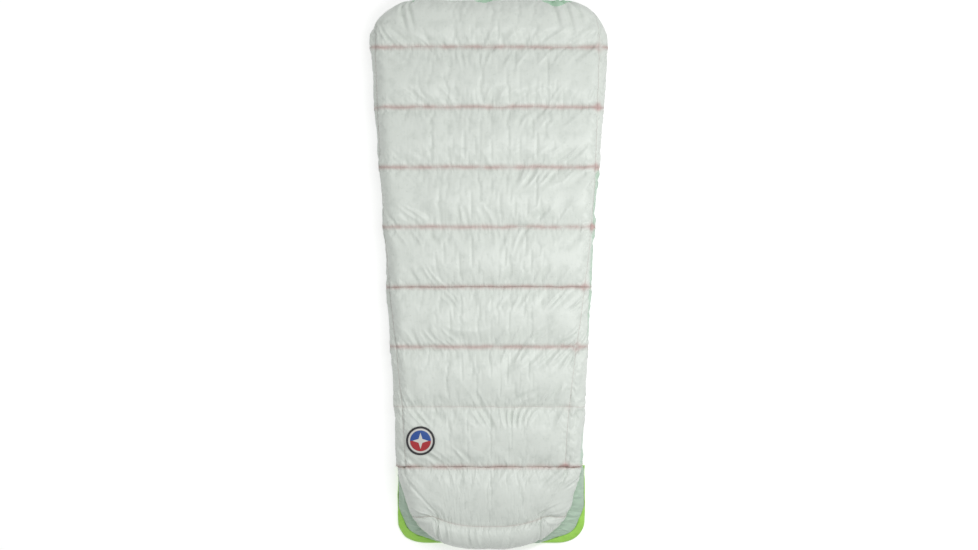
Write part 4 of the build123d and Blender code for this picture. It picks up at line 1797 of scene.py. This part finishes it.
@dataclass(frozen=True)
class Nylon:
    """Thin, shiny nylon over down: cloudy clumps, creases that run off the seams, walls showing."""

    name: str
    light: Color
    cloudy: Color
    wall: Color
    gloss: float = 0.36
    crease: float = 1.0
    mint: Color = (0.52, 0.70, 0.56, 1)
    mint_share: float = 0.8
    clump_scale: float = 26
    speck_scale: float = 95
    patch_scale: float = 21
    clump_share: float = 0.45
    speck_share: float = 0.35
    streak_scale: tuple = (150, 24)
    thread_scale: tuple = (420, 60)
    streak_depth: float = 2.6 * MM
    thread_depth: float = 0.45 * MM
    crease_run_mm: float = 30.0
    crease_rest: float = 0.15
    dullness: float = 0.14

    def make(self) -> bpy.types.Material:
        """Builds the material, which reads the marks that a Grid carries.

        Returns:
            The material.
        """
        r = Recipe(self.name)
        around, along, away = r.attribute("around"), r.attribute("along"), r.attribute("seam_mm")
        place = r.vector(around, along)
        clumps = r.ramp(r.noise(place, self.clump_scale, 4), 0.50, 0.72)
        specks = r.ramp(r.noise(place, self.speck_scale, 2), 0.60, 0.74)
        clumps, specks = r.times(clumps, self.clump_share), r.times(specks, self.speck_share)
        cloud = r.maths("ADD", clumps, specks)
        color = r.mix(cloud, self.light, self.cloudy)
        color = r.mix(r.times(r.attribute("mint"), self.mint_share), color, self.mint)
        patchy = r.ramp(r.noise(place, self.patch_scale, 2), 0.12, 0.55)
        color = r.mix(r.times(r.attribute("tint"), patchy), color, self.wall)
        fading = r.maths("POWER", math.e, r.maths("DIVIDE", away, -self.crease_run_mm))
        near = r.maths("ADD", fading, self.crease_rest)
        relief = None
        for (wide, long), detail, depth in (
            (self.streak_scale, 4, self.streak_depth),
            (self.thread_scale, 2, self.thread_depth),
        ):
            grain = r.noise(r.vector(r.times(around, wide), r.times(along, long)), 1, detail)
            relief = r.bump(r.times(grain, near), depth * self.crease, relief)
        roughness = r.maths("ADD", self.gloss, r.times(cloud, self.dullness))
        return r.finish(color, roughness, relief, Sheen_Weight=0.12, Sheen_Roughness=0.4)


@dataclass(frozen=True)
class Woven:
    """A plain woven fabric or tape, on the object's own coordinates."""

    name: str
    light: Color
    dark: Color
    pitch: float = 0.9 * MM
    depth: float = 0.25 * MM
    roughness: float = 0.7
    sheen: float = 0.15

    def make(self) -> bpy.types.Material:
        """Builds the material.

        Returns:
            The material.
        """
        r = Recipe(self.name)
        place = r.own_place()
        parts = r.node("ShaderNodeSeparateXYZ", Vector=place)
        turns = 2 * math.pi / self.pitch
        warp = r.maths("SINE", r.times(parts.outputs["X"], turns))
        weft = r.maths("SINE", r.times(parts.outputs["Y"], turns))
        weave = r.ramp(r.times(warp, weft), -1, 1)
        wear = r.ramp(r.noise(place, 40, 4), 0.35, 0.7)
        shade = r.maths("ADD", r.times(wear, 0.6), r.times(weave, 0.3))
        color = r.mix(shade, self.light, self.dark)
        return r.finish(color, self.roughness, r.bump(weave, self.depth), Sheen_Weight=self.sheen)


@dataclass(frozen=True)
class Thread:
    """Twisted thread or embroidery, with a fine grain across it."""

    name: str
    light: Color
    dark: Color
    gloss: float = 0.45

    def make(self) -> bpy.types.Material:
        """Builds the material.

        Returns:
            The material.
        """
        r = Recipe(self.name)
        place = r.own_place()
        grain = r.noise(place, 1400, 3)
        color = r.mix(r.ramp(grain, 0.3, 0.7), self.light, self.dark)
        return r.finish(color, self.gloss, r.bump(grain, 0.15 * MM), Sheen_Weight=0.2)


@dataclass(frozen=True)
class Moulded:
    """Moulded plastic with a fine spark texture and rubbed edges."""

    name: str
    light: Color
    dark: Color

    def make(self) -> bpy.types.Material:
        """Builds the material.

        Returns:
            The material.
        """
        r = Recipe(self.name)
        place = r.own_place()
        grain = r.noise(place, 2600, 2)
        rubbed = r.ramp(r.noise(place, 180, 4), 0.45, 0.75)
        return r.finish(r.mix(rubbed, self.dark, self.light), 0.46, r.bump(grain, 0.06 * MM))


@dataclass(frozen=True)
class Wire:
    """Drawn steel wire."""

    name: str = "spring_steel"

    def make(self) -> bpy.types.Material:
        """Builds the material.

        Returns:
            The material.
        """
        r = Recipe(self.name)
        grain = r.noise(r.own_place(), 3000, 2)
        color = r.mix(grain, (0.46, 0.46, 0.47, 1), (0.62, 0.62, 0.63, 1))
        return r.finish(color, r.ramp(grain, -1.2, 3.0), None, Metallic=1.0)


SAGE = Nylon("shell_nylon", (0.78, 0.83, 0.775, 1), (0.60, 0.65, 0.60, 1), (0.56, 0.38, 0.355, 1))
LEAF = Nylon("lining_nylon", (0.50, 0.74, 0.55, 1), (0.38, 0.60, 0.43, 1), (0.45, 0.55, 0.45, 1), 0.42)
MINT = Nylon("gusset_nylon", (0.52, 0.68, 0.54, 1), (0.38, 0.50, 0.41, 1), (0.5, 0.6, 0.5, 1), 0.36, 1.8)
LIME = Nylon("floor_nylon", (0.43, 0.82, 0.13, 1), (0.32, 0.68, 0.08, 1), (0.3, 0.6, 0.1, 1), 0.42, 0.8)
MESH = Woven("baffle_mesh", (0.80, 0.48, 0.44, 1), (0.70, 0.36, 0.33, 1), 1.2 * MM)
TAPE = Woven("binding", (0.52, 0.60, 0.55, 1), (0.40, 0.48, 0.43, 1), 0.7 * MM)
WEBBING = Woven("webbing", (0.085, 0.095, 0.09, 1), (0.05, 0.055, 0.052, 1), 1.6 * MM, 0.5 * MM)
CORD = Thread("drawcord", (0.10, 0.12, 0.11, 1), (0.05, 0.06, 0.055, 1), 0.6)
LOCK = Moulded("lock_plastic", (0.09, 0.095, 0.095, 1), (0.03, 0.032, 0.032, 1))
SNAP = Moulded("snap_plastic", (0.11, 0.115, 0.115, 1), (0.045, 0.048, 0.048, 1))
SEWING = Thread("sewing_thread", (0.66, 0.54, 0.52, 1), (0.52, 0.41, 0.39, 1))
BLACK = Thread("patch_thread", (0.030, 0.030, 0.034, 1), (0.012, 0.012, 0.014, 1))
FIELD = Thread("patch_twill", (0.80, 0.79, 0.75, 1), (0.68, 0.67, 0.63, 1), 0.6)
BLUE = Thread("patch_blue", (0.030, 0.11, 0.42, 1), (0.018, 0.07, 0.30, 1))
RED = Thread("patch_red", (0.55, 0.035, 0.045, 1), (0.38, 0.02, 0.03, 1))


# ---- dressing -----------------------------------------------------------------------------------
PLAIN_NODES = {
    "cord_lock_barrel": LOCK,
    "cord_lock_plunger": LOCK,
    "neck_stud": SNAP,
    "strap_studs": SNAP,
    "neck_tab": WEBBING,
    "neck_tab_snap": SNAP,
    "upper_strap": WEBBING,
    "upper_strap_snap": SNAP,
    "lower_strap": WEBBING,
    "lower_strap_snap": SNAP,
}


@dataclass
class Wardrobe:
    """Makes each finish once and dresses pieces in it."""

    made: dict = field(default_factory=dict)

    def material(self, finish: object) -> bpy.types.Material:
        """The material of a finish.

        Args:
            finish: the finish.

        Returns:
            Its material.
        """
        if finish.name not in self.made:
            self.made[finish.name] = finish.make()
        return self.made[finish.name]

    def dress(self, piece: bpy.types.Object, slot: str, *finishes: object) -> bpy.types.Object:
        """Puts finishes on a piece, in the order of its face numbers.

        Args:
            piece: the piece.
            slot: not used.
            finishes: one finish for each face number.

        Returns:
            The piece.
        """
        if piece.data.materials:
            piece.data.materials.clear()
        for finish in finishes:
            piece.data.materials.append(self.material(finish))
        return piece


@dataclass
class Quilt:
    """The whole quilt: builds every piece and dresses it; the walls, collar pieces, spring, foot and patch hang
    on the frame's bodies.
    """

    nodes: dict
    wardrobe: Wardrobe = field(default_factory=Wardrobe)
    reach: float = 62 * MM
    down: float = 0.75
    press: float = 2.6 * MM
    cord: float = 1.5 * MM
    cord_stop: float = 3 * MM
    channel_lap: float = 0.5 * MM
    binding: tuple = (3.4 * MM, 1.5 * MM)

    def named(self, *starts: str) -> list:
        """The frame's nodes whose names start in one of these ways."""
        return [name for name in self.nodes if name.startswith(starts)]

    def across(self, piece: bpy.types.Object, other: str, y: float) -> None:
        """Bakes a piece's placement into its mesh."""
        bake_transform(piece)

    def build(self) -> None:
        """Builds the quilt."""
        plan, cloth = Plan(), Inflation()
        body = PaddedBody(plan, Section(plan), cloth)
        head, foot = body.build()
        lid_maker = PaddedLid(plan, cloth)
        lid = lid_maker.build()
        head_fold, foot_fold = plan.seams[1], plan.seams[6]
        for padded in (head, foot, lid):
            self.wardrobe.dress(padded, "shell_nylon", SAGE, LEAF)
        self.add_walls(body, lid_maker)
        self.add_channel(plan)
        self.add_spring()
        self.add_pan(plan, lid_maker)
        self.add_patch(foot)
        self.add_sewing(body, lid_maker, head_fold, foot_fold)
        self.across(head, "head_end", head_fold)
        self.across(foot, "footbox", foot_fold)
        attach(lid, "footbox")
        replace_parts(head, *self.named("down_fill_01", "down_fill_02", "down_fill_03", "down_fill_04"))
        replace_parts(head, *[n for n in self.named("head_") if "hem" not in n])
        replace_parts(head, *[n for n in self.named("body_") if "hem" not in n])
        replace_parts(foot, *self.named("down_fill_05", "down_fill_06", "down_fill_07", "down_fill_08"))
        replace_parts(foot, *[n for n in self.named("foot_") if n not in ("foot_lid_shell", "foot_wall_down")])
        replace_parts(lid, "foot_lid_shell", "foot_wall_down", "down_fill_09", "down_fill_10")
        for name, finish in PLAIN_NODES.items():
            self.wardrobe.dress(self.nodes[name], finish.name, finish)

    def add_channel(self, plan: Plan) -> None:
        """The drawcord's channel inside the collar, and the cord in it.

        Args:
            plan: the quilt's sizes.
        """
        low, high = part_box("neck_channel")
        middle = (low + high) / 2
        thick = (high.y - low.y) / 2
        bend = (high.z - low.z) / 2 - thick
        run = plan.half(middle.y) - plan.ring
        turn = np.linspace(math.pi / 2, -math.pi / 2, 17)
        right = np.stack([run + bend * np.cos(turn), 0 * turn + middle.y, middle.z + bend * np.sin(turn)], -1)
        left = right[::-1] * np.array([-1, 1, 1])
        start, lock = -plan.neck_open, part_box("cord_lock_barrel")[1].x
        channel = (thick, start, lock + self.channel_lap)
        cord = (self.cord, start - self.cord_stop, lock - self.cord_stop)
        for name, (radius, first, last), finish, node in (
            ("collar_channel", channel, TAPE, "neck_channel"),
            ("collar_cord", cord, CORD, "neck_drawcord"),
        ):
            ends = [np.array([(x, middle.y, low.z + thick)]) for x in (first, last)]
            path = np.concatenate([ends[0], left, right, ends[1]])
            piece = swept(name, self.spread(path), radius, radius, up=(0, 1, 0))
            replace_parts(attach(self.wardrobe.dress(piece, finish.name, finish), "head_end"), node)

    @staticmethod
    def spread(path: Points, step: float = 4 * MM) -> Points:
        """A path's points at even steps.

        Args:
            path: points along a line.
            step: the distance wanted between points.

        Returns:
            The evenly spread points.
        """
        run = np.concatenate([[0], np.cumsum(np.linalg.norm(np.diff(path, axis=0), axis=1))])
        where = np.linspace(0, run[-1], int(run[-1] / step))
        return np.stack([np.interp(where, run, path[:, i]) for i in range(3)], -1)

    def add_spring(self) -> None:
        """The cord lock's spring, copied with its doubled points merged; on the real lock it shortens as the
        plunger is pressed.
        """
        node = self.nodes["cord_lock_spring"]
        copy = bpy.data.objects.new("lock_spring", node.data.copy())
        bpy.context.scene.collection.objects.link(copy)
        tidy = bmesh.new()
        tidy.from_mesh(copy.data)
        bmesh.ops.remove_doubles(tidy, verts=tidy.verts, dist=1e-6)
        tidy.to_mesh(copy.data)
        tidy.free()
        self.wardrobe.dress(copy, "spring_steel", Wire())
        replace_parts(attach(copy, "head_end"), "cord_lock_spring")
        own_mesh(copy)

    def add_walls(self, body: PaddedBody, lid: PaddedLid) -> None:
        """The mesh walls of each body.

        Args:
            body: the padded body, already built.
            lid: the lid, already built.
        """
        rows = [*body.wall_rows, lid.wall_row]
        for name, rider, first, last in (
            ("walls_head", "head_end", 1, 1),
            ("walls_middle", "quilt_body", 2, 7),
            ("walls_foot", "footbox", 8, 9),
        ):
            walls = Walls().build(name, rows[first - 1 : last])
            self.wardrobe.dress(walls, "baffle_mesh", MESH)
            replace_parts(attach(walls, rider), *[f"baffle_wall_{k:02d}" for k in range(first, last + 1)])

    def add_pan(self, plan: Plan, lid: PaddedLid) -> None:
        """The floor pan and the gusset.

        Args:
            plan: the quilt's sizes.
            lid: the lid, already built.
        """
        gusset, pan, front = FootPan(plan).build(lid.rim_line, lid.rim_square)
        self.wardrobe.dress(gusset, "gusset_nylon", MINT)
        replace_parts(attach(gusset, "footbox"), "footbox_gusset")
        for panel in (pan, front):
            self.wardrobe.dress(panel, "floor_nylon", LIME)
            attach(panel, "footbox")
        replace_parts(pan, "footbox_floor")

    def add_patch(self, shell: bpy.types.Object) -> None:
        """The patch, on the left of the eighth chamber.

        Args:
            shell: the padded piece it is sewn to.
        """
        for piece, finish in Patch().build(shell).items():
            self.wardrobe.dress(piece, "patch_twill" if finish is FIELD else "patch_thread", finish)
            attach(piece, "footbox")
            if piece.name == "patch_field":
                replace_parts(piece, "patch")
            if piece.name == "patch_edge":
                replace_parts(piece, "patch_border")

    def add_sewing(self, body: PaddedBody, lid: PaddedLid, head_fold: float, foot_fold: float) -> None:
        """The stitches and the bindings of the back opening.

        Args:
            body: the padded body, already built.
            lid: the lid, already built.
            head_fold: station of the fold at the head.
            foot_fold: station of the fold at the foot.
        """
        sewing = Stitching(self.wardrobe.material(SEWING))
        row = body.split_row
        head = sewing.build("stitches_head", body.seam_lines[:5] + [line[:row] for line in body.long_lines])
        foot = sewing.build("stitches_foot", body.seam_lines[5:] + [line[row:] for line in body.long_lines])
        self.across(head, "head_end", head_fold)
        self.across(foot, "footbox", foot_fold)
        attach(sewing.build("stitches_lid", [lid.seam_line]), "footbox")
        for side, line in zip(("left", "right"), body.hem_lines):
            runs = (("head", line[: row + 1], "head_end", head_fold), ("foot", line[row:], "footbox", foot_fold))
            for part, run, other, fold in runs:
                piece = swept(f"{part}_binding_{side}", run, *self.binding)
                self.across(self.wardrobe.dress(piece, "binding", TAPE), other, fold)
                if part == "head":
                    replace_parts(piece, f"head_hem_{side}", f"body_hem_{side}")


# ---- stage --------------------------------------------------------------------------------------
@dataclass(frozen=True)
class Panel:
    """A soft panel light, aimed at the quilt's middle."""

    name: str
    place: tuple
    size: tuple
    power: float

    def build(self) -> None:
        """Hangs the light, with its long side along the quilt."""
        data = bpy.data.lights.new(self.name, "AREA")
        data.shape = "RECTANGLE"
        data.size, data.size_y = self.size
        data.energy = self.power
        obj = bpy.data.objects.new(self.name, data)
        obj.location = self.place
        obj.rotation_euler = (-Vector(self.place)).to_track_quat("-Z", "Y").to_euler()
        obj.visible_camera = False
        bpy.context.scene.collection.objects.link(obj)


@dataclass
class Stage:
    """A pale floor, soft lights and a camera that looks straight down."""

    level: float
    camera_height: float = 9.0
    frame_width: float = 3.391
    sensor: float = 36.0
    floor_half: float = 9.0
    floor_white: float = 0.95
    floor_glow: float = 0.42
    sky: float = 0.52
    lights: tuple = (
        Panel("key", (1.05, 0.1, 1.9), (0.45, 3.0), 22),
        Panel("fill", (1.2, 3.4, 2.6), (1.6, 1.6), 9),
    )

    def floor(self) -> None:
        """A large, plain, near-white floor that throws no light up at the quilt's sides."""
        corners = [(x * self.floor_half, y * self.floor_half, 0) for x, y in ((-1, -1), (1, -1), (1, 1), (-1, 1))]
        floor = mesh_object("floor", corners, [(0, 1, 2, 3)], closed=False)
        material = bpy.data.materials.new("floor")
        material.use_nodes = True
        shader = material.node_tree.nodes["Principled BSDF"]
        shader.inputs["Base Color"].default_value = (*[self.floor_white] * 3, 1)
        shader.inputs["Roughness"].default_value = 0.9
        shader.inputs["Specular IOR Level"].default_value = 0.1
        shader.inputs["Emission Color"].default_value = (1, 1, 1, 1)
        shader.inputs["Emission Strength"].default_value = self.floor_glow
        floor.data.materials.append(material)
        floor.visible_diffuse = False
        floor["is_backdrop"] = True

    def camera(self) -> None:
        """The camera, straight above the quilt's middle."""
        data = bpy.data.cameras.new("camera")
        data.sensor_width = self.sensor
        data.lens = self.sensor * (self.camera_height - self.level) / self.frame_width
        obj = bpy.data.objects.new("camera", data)
        obj.location = (0, 0, self.camera_height)
        bpy.context.scene.collection.objects.link(obj)
        bpy.context.scene.camera = obj

    def build(self) -> None:
        """Sets up all of it."""
        self.floor()
        world = bpy.data.worlds.new("studio")
        world.use_nodes = True
        background = world.node_tree.nodes["Background"]
        background.inputs["Color"].default_value = (1, 1, 1, 1)
        background.inputs["Strength"].default_value = self.sky
        bpy.context.scene.world = world
        bpy.context.scene.view_settings.view_transform = "Standard"
        for light in self.lights:
            light.build()
        self.camera()


def main() -> None:
    """Builds every piece round the frame."""
    logging.basicConfig(level=logging.INFO)
    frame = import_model()
    Quilt(frame["nodes"]).build()
    Stage(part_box("body_top_panel")[1].z / 2).build()


if __name__ == "__main__":
    main()
